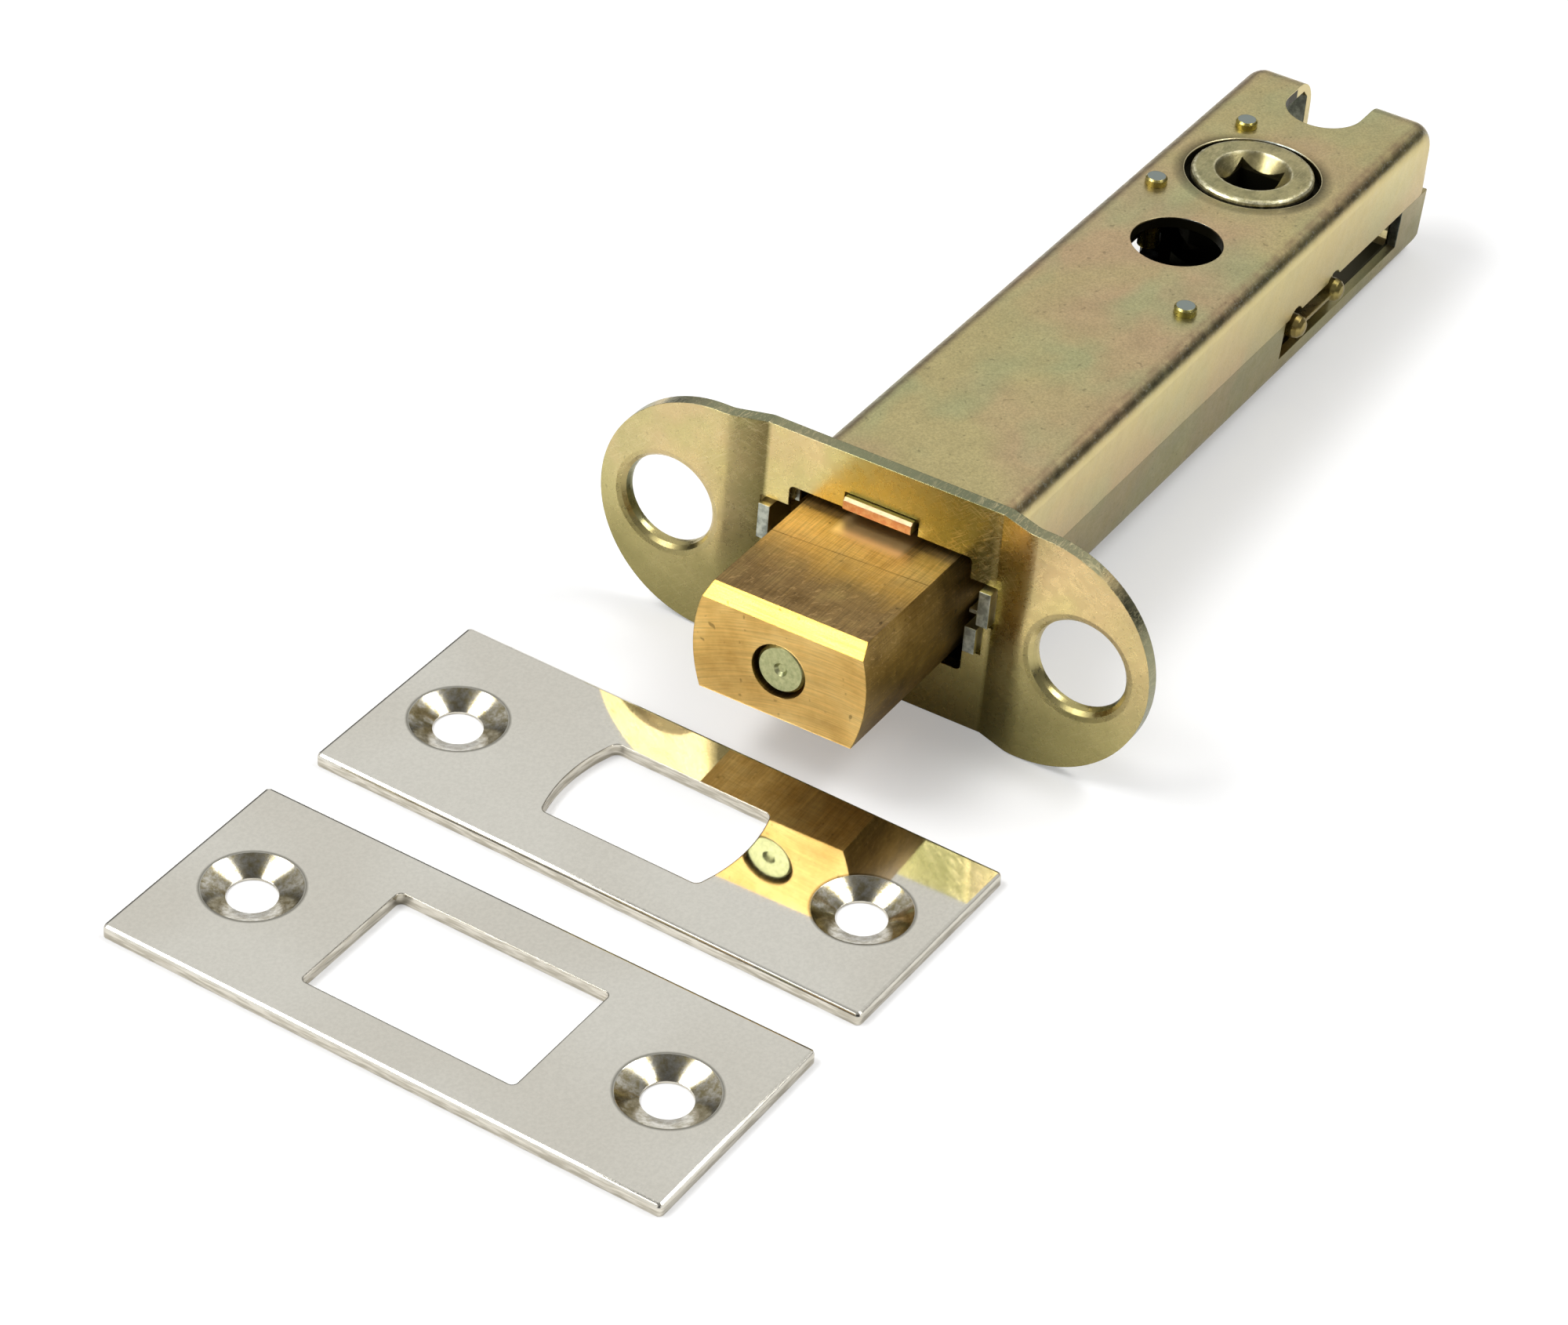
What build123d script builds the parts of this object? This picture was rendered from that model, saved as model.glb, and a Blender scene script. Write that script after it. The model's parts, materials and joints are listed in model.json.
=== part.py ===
from build123d import *
from math import atan2, cos, degrees, pi, radians, sin, sqrt, tan
import os

os.makedirs("parts", exist_ok=True)

# Sheet, case section and case length
sheet = 1.2
case_half_width = 10.65
case_top_z = 8.05
case_bottom_z = -8.0
seam_z = -0.6
bend_outer = 2.0
draft_deg = 2.5
upper_rear_x = -100.5
lower_rear_x = -100.2
end_bend_outer = 3.5
low_end_cut = 1.7
end_inner_cut = 1.0

# Forend
forend_sheet = 1.4
forend_long = 59.4
forend_tall = 24.8
joggle_depth = 1.25
joggle_run = 3.6
joggle_from_hole = 6.1
joggle_soft_r = 2.6
joggle_crease_r = 0.4
ear_hole_inset = 7.4
ear_hole_r = 4.7
ear_rim_r = 1.0
mouth_margin = 0.4
mouth_top_z = 6.4
mouth_corner = 0.5
tab_half_y = 3.65
tab_play = 0.35
tab_proud = 0.85
side_tab_out = 1.9
side_tab_top = 3.8
low_tab_out = 0.8
low_tab_bottom = -3.4
side_tab_root = 5.35
side_tab_bend = 2.4

# Holes through the case
hole_pitch = 17.0
follower_x = -77.5
follower_hole_r = 7.15
through_hole_r = 4.75
notch_r = 4.2

# Bolt
bolt_nose_x = 16.1
bolt_rear_x = -24.0
bolt_centre_z = -0.2
bolt_half_flat = 5.6
bolt_play = 0.25
bolt_edge_drop = 1.05
bolt_throw = 14.4
nose_chamfer_long = 1.4
nose_chamfer_drop = 1.2
core_r = 2.5
core_length = 24.0
core_recess = 0.35
core_z = -0.65
counterbore_r = 2.85
counterbore_deep = 3.0
core_dimple_r = 0.7
core_dimple_deep = 0.3

# Tail behind the bolt
tail_sheet = 1.2
tail_bottom_z = -6.3
tail_lap = 10.0
tail_play = 0.35
tail_web_rear_x = -40.0
tail_rail_inner = 6.15
tail_flange = 0.8
tail_rivet_r = 1.25
tail_rivet_y = 5.0
tail_rivet_deep = 6.0
lug_r = 1.25
lug_z = -1.98
lug_ahead = 8.7
lug_pitch = 8.8
lug_proud = 1.2
lug_dome = 1.0
lug_flange_over = 0.25
lug_web = 0.45
lug_relief = 0.4
lug_relief_up = 0.5
window_bottom_z = -5.0
window_front_play = 1.1
window_rear_play = 0.9

# Follower
spindle = 5.0
hub_r = 6.45
hub_proud = 0.35
hub_rim = 0.5
hub_cone_r = 4.0
hub_core_r = 5.6
hub_shoulder_r = 7.7
hub_shoulder_z = 5.3
arm_bottom_z = -4.4
arm_thick = 3.5
arm_sector_top = 0.4
arm_half_width = 3.3
arm_sector_r = 8.7
arm_sector_half = 55.0
drive_pin_y = 7.2
drive_pin_r = 1.0
drive_pin_play = 0.75
running_gap = 0.3
cam_bottom_z = 1.2
cam_thick = 3.6
cam_play = 0.2
cam_flat_drop = 0.55

# Posts and detent spring
post_r = 1.15
post_edge = 0.2
post_proud = 0.85
post_front_ahead = 28.5
post_middle_ahead = 8.0
post_rear_behind = 8.3
post_front_inset = 2.55
post_middle_inset = 2.3
post_rear_inset = 4.45
spring_sheet = 0.45
spring_overhang = 1.8

# Loose plates
plate_long = 60.0
plate_tall = 24.0
plate_sheet = 1.3
plate_corner = 0.5
plate_edge_roll = 0.35
plate_land = 0.25
plate_hole_y = 22.5
plate_hole_r = 2.4
plate_sink_r = 4.7
slot_play = 0.45
strike_hole_long = 23.0
strike_hole_tall = 14.6
strike_hole_corner = 0.6
face_plate_at = (27.15, -5.38)
face_plate_turn = -2.3
strike_plate_at = (57.11, -7.13)
strike_plate_turn = -1.97

# Sizes that follow from the ones above
far = 80.0
roll_steps = 3
plate_roll_steps = 2
inner_half = case_half_width - sheet
ear_hole_y = forend_long / 2 - ear_hole_inset
joggle_outer_y = ear_hole_y - joggle_from_hole
joggle_inner_y = joggle_outer_y - joggle_run
mouth_half_y = inner_half + mouth_margin
bolt_half_mid = inner_half - bolt_play
bolt_half_edge = bolt_half_mid - bolt_edge_drop
tail_half_width = inner_half - tail_play
lug_front_x = follower_x + lug_ahead
lug_rear_x = lug_front_x - lug_pitch
lug_reach = case_half_width + lug_proud
window_front_x = lug_front_x + lug_r + window_front_play
window_rear_x = lug_rear_x - bolt_throw - lug_r - window_rear_play
post_points = {
    "post_front": (follower_x + post_front_ahead, inner_half - post_front_inset),
    "post_middle": (follower_x + post_middle_ahead, post_middle_inset - inner_half),
    "post_rear": (follower_x - post_rear_behind, post_rear_inset - inner_half),
}
inner_top = case_top_z - sheet
inner_bottom = case_bottom_z + sheet
forend_back = -joggle_depth - forend_sheet
through_x = follower_x + hole_pitch
notch_x = follower_x - hole_pitch
bolt_top = bolt_centre_z + bolt_half_flat
bolt_bottom = bolt_centre_z - bolt_half_flat
tail_top = tail_bottom_z + tail_sheet
rivet_top = tail_top + tail_rivet_deep
arm_top = arm_bottom_z + arm_thick
rest_x = lower_rear_x + low_end_cut
rest_tilt = atan2(case_bottom_z + forend_tall / 2, forend_back - rest_x)


def block(x0, x1, y0, y1, z0, z1):
    return Pos((x0 + x1) / 2, (y0 + y1) / 2, (z0 + z1) / 2) * Box(x1 - x0, y1 - y0, z1 - z0)


def rod(x, y, z0, z1, r):
    return Pos(x, y, (z0 + z1) / 2) * Cylinder(r, z1 - z0)


def prism_x(points, x0, x1):
    face = Plane.YZ.offset(x0) * make_face(Polyline(*points, close=True))
    return extrude(face, amount=x1 - x0)


def prism_z(points, z0, z1):
    face = Plane.XY.offset(z0) * make_face(Polyline(*points, close=True))
    return extrude(face, amount=z1 - z0)


def both_sides(points, z0, z1):
    return prism_z(points, z0, z1) + prism_z([(x, -y) for x, y in points], z0, z1)


# Solid of revolution about Z from a half profile of (radius, height) points
def turned(profile):
    return revolve(Plane.XZ * make_face(Polyline(*profile, close=True)), Axis.Z)


def roll_points(r, top, roll, steps):
    turns = [pi / 2 * i / steps for i in range(steps + 1)]
    return [(r - roll + roll * cos(a), top - roll + roll * sin(a)) for a in turns]


# Cutter for a hole whose rim is rolled outward at its top
def rolled_hole(r, low, top, roll):
    turns = [pi / 2 * i / roll_steps for i in range(roll_steps + 1)]
    rim = [(r + roll - roll * cos(a), top - roll + roll * sin(a)) for a in turns]
    return [(0, low), (r, low)] + rim + [(r + roll, top + 1), (0, top + 1)]


# Solid loaf of a shell: web side up or down, closed at the rear, with its rear edge to work on
def shell_loaf(web_z, rear_x, inset, draft):
    up = 1 if web_z > seam_z else -1
    lean = tan(radians(draft))
    web = web_z - up * inset
    tip = seam_z - up * inset * 2
    half = case_half_width - inset
    half_tip = half + inset * 2 * lean
    half_web = half - abs(web - seam_z) * lean
    outline = [(-half_tip, tip), (half_tip, tip), (half_web, web), (-half_web, web)]
    body = prism_x(outline, rear_x + inset, forend_back + inset)
    side = -1 if up > 0 else 0
    rear_edge = body.edges().filter_by(Axis.Y).group_by(Axis.X)[0].group_by(Axis.Z)[side]
    return body, rear_edge, side


def long_edges(body, side):
    return body.edges().filter_by(Axis.X).group_by(Axis.Z)[side]


def shell_hollow(web_z, rear_x, draft):
    body, rear_edge, side = shell_loaf(web_z, rear_x, sheet, draft)
    body = chamfer(rear_edge, end_inner_cut)
    return fillet(long_edges(body, side), bend_outer - sheet)


# Holes that the two shells share
def case_holes():
    cut = rod(through_x, 0, -far, far, through_hole_r)
    cut += rod(follower_x, 0, -far, far, follower_hole_r)
    cut += rod(notch_x, 0, -far, far, notch_r)
    cut += block(-2 * far, notch_x, -notch_r, notch_r, -far, far)
    return cut


# Side tab that steps outward behind the forend and passes through its side notch
def side_tabs(step, z0, z1):
    tip = -joggle_depth + tab_proud
    root = forend_back - side_tab_root
    foot = root + 0.6
    crest = foot + side_tab_bend
    points = [(root, inner_half), (foot + 0.4, inner_half)]
    points += [(crest + 0.4, inner_half + step), (tip, inner_half + step)]
    points += [(tip, case_half_width + step), (crest, case_half_width + step)]
    points += [(foot, case_half_width), (root, case_half_width)]
    return both_sides(points, z0, z1)


def make_case_top():
    body, rear_edge, side = shell_loaf(case_top_z, upper_rear_x, 0, 0)
    body = fillet(rear_edge, end_bend_outer)
    shell = fillet(long_edges(body, side), bend_outer) - shell_hollow(case_top_z, upper_rear_x, 0)
    shell -= case_holes()
    for x, y in post_points.values():
        shell -= rod(x, y, 0, far, post_r)
    for side in (-1, 1):
        lo, hi = sorted((side * (inner_half - 0.5), side * (case_half_width + 0.5)))
        shell -= block(forend_back - side_tab_root + 0.4, 1, lo, hi, seam_z + 0.4, side_tab_top + 0.2)
    shell += side_tabs(side_tab_out, 0.0, side_tab_top)
    tab = block(forend_back - 1, -joggle_depth + tab_proud, -tab_half_y, tab_half_y, inner_top, case_top_z)
    shell += chamfer(tab.edges().filter_by(Axis.Y).group_by(Axis.X)[-1].group_by(Axis.Z)[-1], 0.3)
    # Relief arcs over the two lugs
    for x in (lug_front_x, lug_rear_x):
        relief = Pos(x, far / 2, lug_z + lug_relief_up) * Rot(90, 0, 0) * Cylinder(lug_r + lug_relief, far)
        shell -= relief
    return shell


def make_case_bottom():
    body, rear_edge, side = shell_loaf(case_bottom_z, lower_rear_x, 0, draft_deg)
    body = chamfer(rear_edge, low_end_cut)
    shell = fillet(long_edges(body, side), bend_outer)
    shell -= shell_hollow(case_bottom_z, lower_rear_x, draft_deg)
    shell -= case_holes()
    shell -= block(window_rear_x, window_front_x, -far, far, window_bottom_z, seam_z + 1)
    for side in (-1, 1):
        lo, hi = sorted((side * (inner_half - 1.0), side * (case_half_width + 0.5)))
        shell -= block(forend_back - side_tab_root + 0.4, 1, lo, hi, low_tab_bottom - 0.2, seam_z + 1)
    shell += side_tabs(low_tab_out, low_tab_bottom, seam_z)
    tab_tip = -joggle_depth + tab_proud
    shell += block(forend_back - 1, tab_tip, -tab_half_y, tab_half_y, case_bottom_z, inner_bottom)
    return shell


def near_any(vertex, others):
    return any(abs(vertex.X - o.X) < 0.01 and abs(vertex.Y - o.Y) < 0.01 for o in others)


# Forend sheet: ears in front, centre set back by two slopes
def make_forend():
    half = forend_long / 2
    front = [(0, half), (0, joggle_outer_y), (-joggle_depth, joggle_inner_y)]
    front += [(-joggle_depth, -joggle_inner_y), (0, -joggle_outer_y), (0, -half)]
    slope = atan2(joggle_depth, joggle_outer_y - joggle_inner_y)
    shift = forend_sheet * tan(slope / 2)
    back = [(-forend_sheet, -half), (-forend_sheet, -joggle_outer_y - shift)]
    back += [(forend_back, -joggle_inner_y - shift), (forend_back, joggle_inner_y + shift)]
    back += [(-forend_sheet, joggle_outer_y + shift), (-forend_sheet, half)]
    profile = make_face(Polyline(*front, *back, close=True))
    bends = [v for v in profile.vertices() if abs(v.Y) < half - 1]
    for x, r in (
        (0, joggle_soft_r + forend_sheet),
        (-forend_sheet, joggle_soft_r),
        (-joggle_depth, joggle_crease_r),
        (forend_back, joggle_crease_r + forend_sheet),
    ):
        here = [b for b in bends if abs(b.X - x) < 0.01]
        profile = fillet([v for v in profile.vertices() if near_any(v, here)], r)
    sheet_body = Pos(0, 0, -forend_tall / 2) * extrude(profile, amount=forend_tall)
    outline = Plane.YZ.offset(-far) * SlotOverall(forend_long, forend_tall)
    sheet_body &= extrude(outline, amount=2 * far)
    mouth = block(-10, 5, -mouth_half_y, mouth_half_y, -mouth_top_z, mouth_top_z)
    sheet_body -= fillet(mouth.edges().filter_by(Axis.X), mouth_corner)
    reach = tab_half_y + tab_play
    sheet_body -= block(-10, 5, -reach, reach, case_bottom_z - 0.1, case_top_z + 0.1)
    high = case_half_width + side_tab_out + 0.3
    low = case_half_width + low_tab_out + 0.3
    sheet_body -= block(-10, 5, -high, high, -0.4, side_tab_top + 0.4)
    sheet_body -= block(-10, 5, -low, low, low_tab_bottom - 0.4, 0)
    for side in (-1, 1):
        cut = turned(rolled_hole(ear_hole_r, -3 * forend_sheet, 0, ear_rim_r))
        sheet_body -= Pos(0, side * ear_hole_y, 0) * Rot(0, 90, 0) * cut
    return sheet_body


# Brass section: two flats and two shallow arcs
def bolt_section(grow):
    flat = bolt_half_flat + grow
    edge = bolt_half_edge + grow
    mid = bolt_half_mid + grow
    top = Line((-edge, flat), (edge, flat))
    right = ThreePointArc((edge, flat), (mid, 0), (edge, -flat))
    bottom = Line((edge, -flat), (-edge, -flat))
    left = ThreePointArc((-edge, -flat), (-mid, 0), (-edge, flat))
    return make_face(Curve() + [top, right, bottom, left])


def make_bolt():
    section = Plane.YZ.offset(bolt_rear_x) * Pos(0, bolt_centre_z) * bolt_section(0)
    body = extrude(section, amount=bolt_nose_x - bolt_rear_x)
    wedge = [(bolt_nose_x - nose_chamfer_long, bolt_top), (bolt_nose_x + 1, bolt_top + 1)]
    wedge += [(bolt_nose_x + 1, bolt_top - nose_chamfer_drop), (bolt_nose_x, bolt_top - nose_chamfer_drop)]
    wedge.insert(1, (bolt_nose_x - nose_chamfer_long, bolt_top + 1))
    body -= extrude(Plane.XZ.offset(-far) * make_face(Polyline(*wedge, close=True)), amount=2 * far)
    core_rear = bolt_nose_x - core_recess - core_length
    core_bore = Rot(0, 90, 0) * Cylinder(core_r, bolt_nose_x - core_rear)
    body -= Pos((bolt_nose_x + core_rear) / 2, 0, core_z) * core_bore
    bore = Pos(bolt_nose_x, 0, core_z) * Rot(0, 90, 0) * Cylinder(counterbore_r, counterbore_deep * 2)
    body -= bore
    # Seat for the tail under the rear end
    body -= block(bolt_rear_x - 1, bolt_rear_x + tail_lap, -far, far, bolt_bottom - 1, tail_top)
    for side in (-1, 1):
        body -= rod(bolt_rear_x + tail_lap / 2, side * tail_rivet_y, -far, rivet_top, tail_rivet_r)
    return body


def make_core_pin():
    front = bolt_nose_x - core_recess
    pin = Pos(front - core_length / 2, 0, core_z) * Rot(0, 90, 0) * Cylinder(core_r, core_length)
    pin = chamfer(pin.edges().filter_by(GeomType.CIRCLE).group_by(Axis.X)[-1], 0.25)
    dimple = Cone(core_dimple_r - core_dimple_deep, core_dimple_r, core_dimple_deep)
    pin -= Pos(front - core_dimple_deep / 2, 0, core_z) * Rot(0, 90, 0) * dimple
    return pin


def make_tail_rivet(side):
    return rod(bolt_rear_x + tail_lap / 2, side * tail_rivet_y, tail_bottom_z, rivet_top, tail_rivet_r)


# Tail: web under the bolt, two rails past the follower, one flange with the lugs
def make_tail():
    front = bolt_rear_x + tail_lap
    pin_x = follower_x + bolt_throw / 2
    wide = tail_half_width
    neck = wide - 0.6
    low, top = tail_bottom_z, tail_top
    back = lug_rear_x - 3.5
    body = block(tail_web_rear_x, front, -neck, neck, low, top)
    body += block(back, tail_web_rear_x, tail_rail_inner, wide, low, top)
    body += block(pin_x - 2.5, tail_web_rear_x, -wide, -tail_rail_inner, low, top)
    body += block(tail_web_rear_x, tail_web_rear_x + 3, -wide, wide, low, top)
    body += block(back, lug_front_x + 3, wide - tail_flange, wide, top, lug_z + lug_flange_over)
    body += block(lug_rear_x, lug_front_x, wide, lug_reach - 0.7, lug_z - lug_web / 2, lug_z + lug_web / 2)
    for x in (lug_front_x, lug_rear_x):
        dome = roll_points(lug_r, lug_reach, lug_dome, 3)
        lug = turned([(0, wide - 0.2), (lug_r, wide - 0.2)] + dome + [(0, lug_reach)])
        body += Pos(x, 0, lug_z) * Rot(-90, 0, 0) * lug
    body -= rod(pin_x, -drive_pin_y, -far, far, drive_pin_r)
    for side in (-1, 1):
        body -= rod(bolt_rear_x + tail_lap / 2, side * tail_rivet_y, -far, far, tail_rivet_r)
    return body


def make_drive_pin():
    pin_x = follower_x + bolt_throw / 2
    return rod(pin_x, -drive_pin_y, tail_bottom_z, arm_top, drive_pin_r)


# Follower: rimmed bosses, waist past the tail, forked arm, cam with flats, square hole
def make_follower():
    low = case_bottom_z - hub_proud
    high = case_top_z + hub_proud
    upper = roll_points(hub_r, high, hub_rim, roll_steps)
    lower = [(hub_r - hub_rim, low), (hub_r, low + hub_rim)]
    body = turned([(0, low)] + lower + upper + [(0, high)])
    body += rod(0, 0, hub_shoulder_z, inner_top - running_gap, hub_shoulder_r)
    ring = rod(0, 0, tail_bottom_z - running_gap, arm_bottom_z + 0.2, far)
    ring -= rod(0, 0, -far, far, hub_core_r)
    body -= ring
    arm_reach = sqrt((bolt_throw / 2) ** 2 + drive_pin_y**2) + 0.35
    arm = block(-arm_half_width, arm_half_width, -arm_reach, 0, arm_bottom_z, arm_top)
    arm &= rod(0, 0, arm_bottom_z, arm_top, arm_reach)
    edge = radians(arm_sector_half)
    fan = [(0, 0), (-far * sin(edge), -far * cos(edge)), (far * sin(edge), -far * cos(edge))]
    sector = prism_z(fan, arm_bottom_z, arm_sector_top)
    arm += rod(0, 0, arm_bottom_z, arm_sector_top, arm_sector_r) & sector
    slot_half = drive_pin_r + drive_pin_play
    slot_root = drive_pin_y - drive_pin_r - running_gap
    arm -= block(-slot_half, slot_half, -far, -slot_root, -far, far)
    body -= block(-slot_half, slot_half, -far, -slot_root, tail_bottom_z - running_gap, arm_sector_top)
    body += arm
    body += rod(0, 0, arm_bottom_z, arm_top, slot_root)
    cam_corner_r = spring_distance() - cam_play
    cam_flat = cam_corner_r - cam_flat_drop
    cam = rod(0, 0, cam_bottom_z, cam_bottom_z + cam_thick, cam_corner_r)
    cam &= Pos(0, 0, cam_bottom_z + cam_thick / 2) * Box(cam_flat * 2, cam_flat * 2, cam_thick)
    lean = spring_lean()
    body = Rot(0, 0, 45) * body
    body += Rot(0, 0, degrees(lean)) * cam
    body -= Box(spindle, spindle, far)
    sink = hub_cone_r - spindle / 2
    body -= Pos(0, 0, high - sink / 2) * Cone(spindle / 2, hub_cone_r, sink)
    body -= Pos(0, 0, low + sink / 2) * Cone(hub_cone_r, spindle / 2, sink)
    return Pos(follower_x, 0, 0) * body


# Angle of the line through the two posts beside the follower
def spring_lean():
    x0, y0 = post_points["post_rear"]
    x1, y1 = post_points["post_middle"]
    return atan2(y1 - y0, x1 - x0)


# Distance from the follower's axis to the near face of the spring
def spring_distance():
    x0, y0 = post_points["post_rear"]
    lean = spring_lean()
    return abs((x0 - follower_x) * sin(lean) - y0 * cos(lean)) + post_r


def make_detent_spring():
    x0, y0 = post_points["post_rear"]
    x1, y1 = post_points["post_middle"]
    length = sqrt((x1 - x0) ** 2 + (y1 - y0) ** 2) + 2 * spring_overhang
    leaf = Box(length, spring_sheet, cam_thick)
    leaf = Pos(0, -post_r - spring_sheet / 2, cam_bottom_z + cam_thick / 2) * leaf
    return Pos((x0 + x1) / 2, (y0 + y1) / 2, 0) * Rot(0, 0, degrees(spring_lean())) * leaf


def make_post(x, y):
    post = rod(x, y, cam_bottom_z - 0.4, case_top_z + post_proud, post_r)
    return chamfer(post.edges().group_by(Axis.Z)[-1], post_edge)


# Loose plate blank: punched outline, rolled top edge, two countersunk screw holes
def plate_blank():
    outline = RectangleRounded(plate_long, plate_tall, plate_corner)
    blank = extrude(outline, amount=plate_sheet - plate_edge_roll)
    for i in range(plate_roll_steps):
        a0 = pi / 2 * i / plate_roll_steps
        a1 = pi / 2 * (i + 1) / plate_roll_steps
        inset = plate_edge_roll * (1 - cos(a0))
        run = plate_edge_roll * (cos(a0) - cos(a1))
        rise = plate_edge_roll * (sin(a1) - sin(a0))
        base = plate_sheet - plate_edge_roll + plate_edge_roll * sin(a0)
        ring = RectangleRounded(plate_long - 2 * inset, plate_tall - 2 * inset, plate_corner - inset)
        blank += extrude(Pos(0, 0, base) * ring, amount=rise, taper=degrees(atan2(run, rise)))
    for side in (-1, 1):
        sink = [(0, -1), (plate_hole_r, -1), (plate_hole_r, plate_land), (plate_sink_r, plate_sheet)]
        sink += [(plate_sink_r, plate_sheet + 1), (0, plate_sheet + 1)]
        blank -= Pos(side * plate_hole_y, 0, 0) * turned(sink)
    return blank


def lay_down(plate, at, turn):
    x, y = at
    drop = forend_tall / 2 + (x - forend_back) * tan(rest_tilt)
    return Pos(x, y, -drop) * Rot(0, degrees(rest_tilt), 0) * Rot(0, 0, 90 + turn) * plate


def make_face_plate():
    plate = plate_blank()
    opening = bolt_section(slot_play)
    opening = fillet(opening.vertices(), 0.8)
    plate -= extrude(opening, amount=far, both=True)
    return lay_down(plate, face_plate_at, face_plate_turn)


def make_strike_plate():
    plate = plate_blank()
    hole = Box(strike_hole_long, strike_hole_tall, 10)
    plate -= fillet(hole.edges().filter_by(Axis.Z), strike_hole_corner)
    return lay_down(plate, strike_plate_at, strike_plate_turn)


parts = {
    "case_top": make_case_top(),
    "case_bottom": make_case_bottom(),
    "forend": make_forend(),
    "bolt": make_bolt(),
    "core_pin": make_core_pin(),
    "tail": make_tail(),
    "tail_rivet_left": make_tail_rivet(1),
    "tail_rivet_right": make_tail_rivet(-1),
    "drive_pin": make_drive_pin(),
    "follower": make_follower(),
    "detent_spring": make_detent_spring(),
    "face_plate": make_face_plate(),
    "strike_plate": make_strike_plate(),
}
for name, (x, y) in post_points.items():
    parts[name] = make_post(x, y)

for name, shape in parts.items():
    export_step(shape, f"parts/{name}.step")
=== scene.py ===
import json
import math

import bpy
from mathutils import Matrix, Vector

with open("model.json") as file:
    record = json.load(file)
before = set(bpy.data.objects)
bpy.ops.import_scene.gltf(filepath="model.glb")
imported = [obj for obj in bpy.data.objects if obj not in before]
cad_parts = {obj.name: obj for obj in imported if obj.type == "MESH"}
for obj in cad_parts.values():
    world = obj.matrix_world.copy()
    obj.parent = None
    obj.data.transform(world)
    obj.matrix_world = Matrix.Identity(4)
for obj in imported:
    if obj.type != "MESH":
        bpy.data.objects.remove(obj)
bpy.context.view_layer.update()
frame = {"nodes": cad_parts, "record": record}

scene = bpy.context.scene
nodes_of = frame["nodes"]

# The set rests on the forend's lower edge and the case's rear bottom edge
REST_FRONT = Vector((-0.00265, 0.0, -0.0124))
REST_REAR = Vector((-0.0985, 0.0, -0.008))
FOLLOWER_X = -0.0775
# Half width, bottom, top and rear of the two boxes that hold the faces inside the case painted dark as shade
SHADED_INSIDE_BOXES = ((0.00928, -0.00785, 0.00790, -0.0965), (0.00950, -0.0062, 0.0060, -0.0991))
# Radius of the screws' bores and of the edge of their countersinks
SCREW_BORE = 0.0024
SINK_RIM = 0.0047
# Rise over run that the countersinks' walls are shaded with, to look as steep as in the photograph
SINK_SLOPE = 0.60
# Soft edges of the marks, and the front end of the painted shade inside the case
MASK_EDGE = 0.00003
RIM_EDGE = 0.00012
SHADE_INSIDE_FRONT = -0.003
# Half width of the upper shell's front tab, and where it comes out of the forend
TAB_HALF = 0.0038
TAB_ROOT = -0.0013
# Radii round the follower: the shell's hole just inside and outside its wall, the edge of the dish round
# it, both rims of the boss, and the foot of its cone
HOLE_INSIDE = 0.0068
HOLE_OUTSIDE = 0.0072
DISH_EDGE = 0.0086
OUTER_RIM = (0.0060, 0.0066)
INNER_RIM = (0.00385, 0.00415)
HUB_CORE = 0.0043
# Top and foot of the forend's joggle, from the middle
JOGGLE = 0.0122
JOGGLE_FOOT = 0.0172
# Line scribed across the bolt, from X to X
SCRIBED = (0.00415, 0.00425)
# Middle of the saw's sweep across the nose: its marks are arcs that rise from the left
SAW_CENTRE = Vector((0.0161, 0.006, -0.030))
REST_TILT = math.atan2(REST_REAR.z - REST_FRONT.z, REST_FRONT.x - REST_REAR.x)


def linear(code):
    """Linear colour of an sRGB hex code such as "C9C5B6"."""
    out = []
    for i in (0, 2, 4):
        c = int(code[i:i + 2], 16) / 255.0
        out.append(c / 12.92 if c <= 0.04045 else ((c + 0.055) / 1.055) ** 2.4)
    return (out[0], out[1], out[2], 1.0)


def per_metre(width):
    """Scale of a pattern whose features are this many millimetres wide, rounded to two digits."""
    return float(f"{1000.0 / width:.2g}")


def add(tree, kind, sockets=None, stops=(), **settings):
    """Add one node with its settings, then give each socket a value or a link.

    A socket is named, or counted among the live ones. A node given as a value stands for its first live
    output. With stops the settings are those of the node's colour ramp.
    """
    node = tree.nodes.new(kind)
    for name, value in settings.items():
        setattr(node.color_ramp if stops else node, name, value)
    while stops and len(node.color_ramp.elements) < len(stops):
        node.color_ramp.elements.new(0.5)
    for k, (position, colour) in enumerate(stops):
        node.color_ramp.elements[k].position = position
        node.color_ramp.elements[k].color = colour
    live = [socket for socket in node.inputs if socket.enabled]
    for key, value in (sockets or {}).items():
        socket = live[key] if isinstance(key, int) else node.inputs[key]
        if isinstance(value, bpy.types.Node):
            value = next(output for output in value.outputs if output.enabled)
        if isinstance(value, bpy.types.NodeSocket):
            tree.links.new(value, socket)
        else:
            socket.default_value = value
    return node


def start(name):
    """An empty material, its node tree and the spot on the piece, in metres."""
    material = bpy.data.materials.new(name)
    material.use_nodes = True
    material.node_tree.nodes.clear()
    spot = add(material.node_tree, "ShaderNodeTexCoord").outputs["Object"]
    return material, material.node_tree, spot


def bare_metal(material, base, roughness, normal=None):
    """Every metal here ends in this shader: no coat and the default IOR."""
    sockets = {"Base Color": base, "Metallic": 1.0, "Roughness": roughness}
    if normal:
        sockets["Normal"] = normal
    shader = add(material.node_tree, "ShaderNodeBsdfPrincipled", sockets)
    add(material.node_tree, "ShaderNodeOutputMaterial", {"Surface": shader})
    return material


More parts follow.
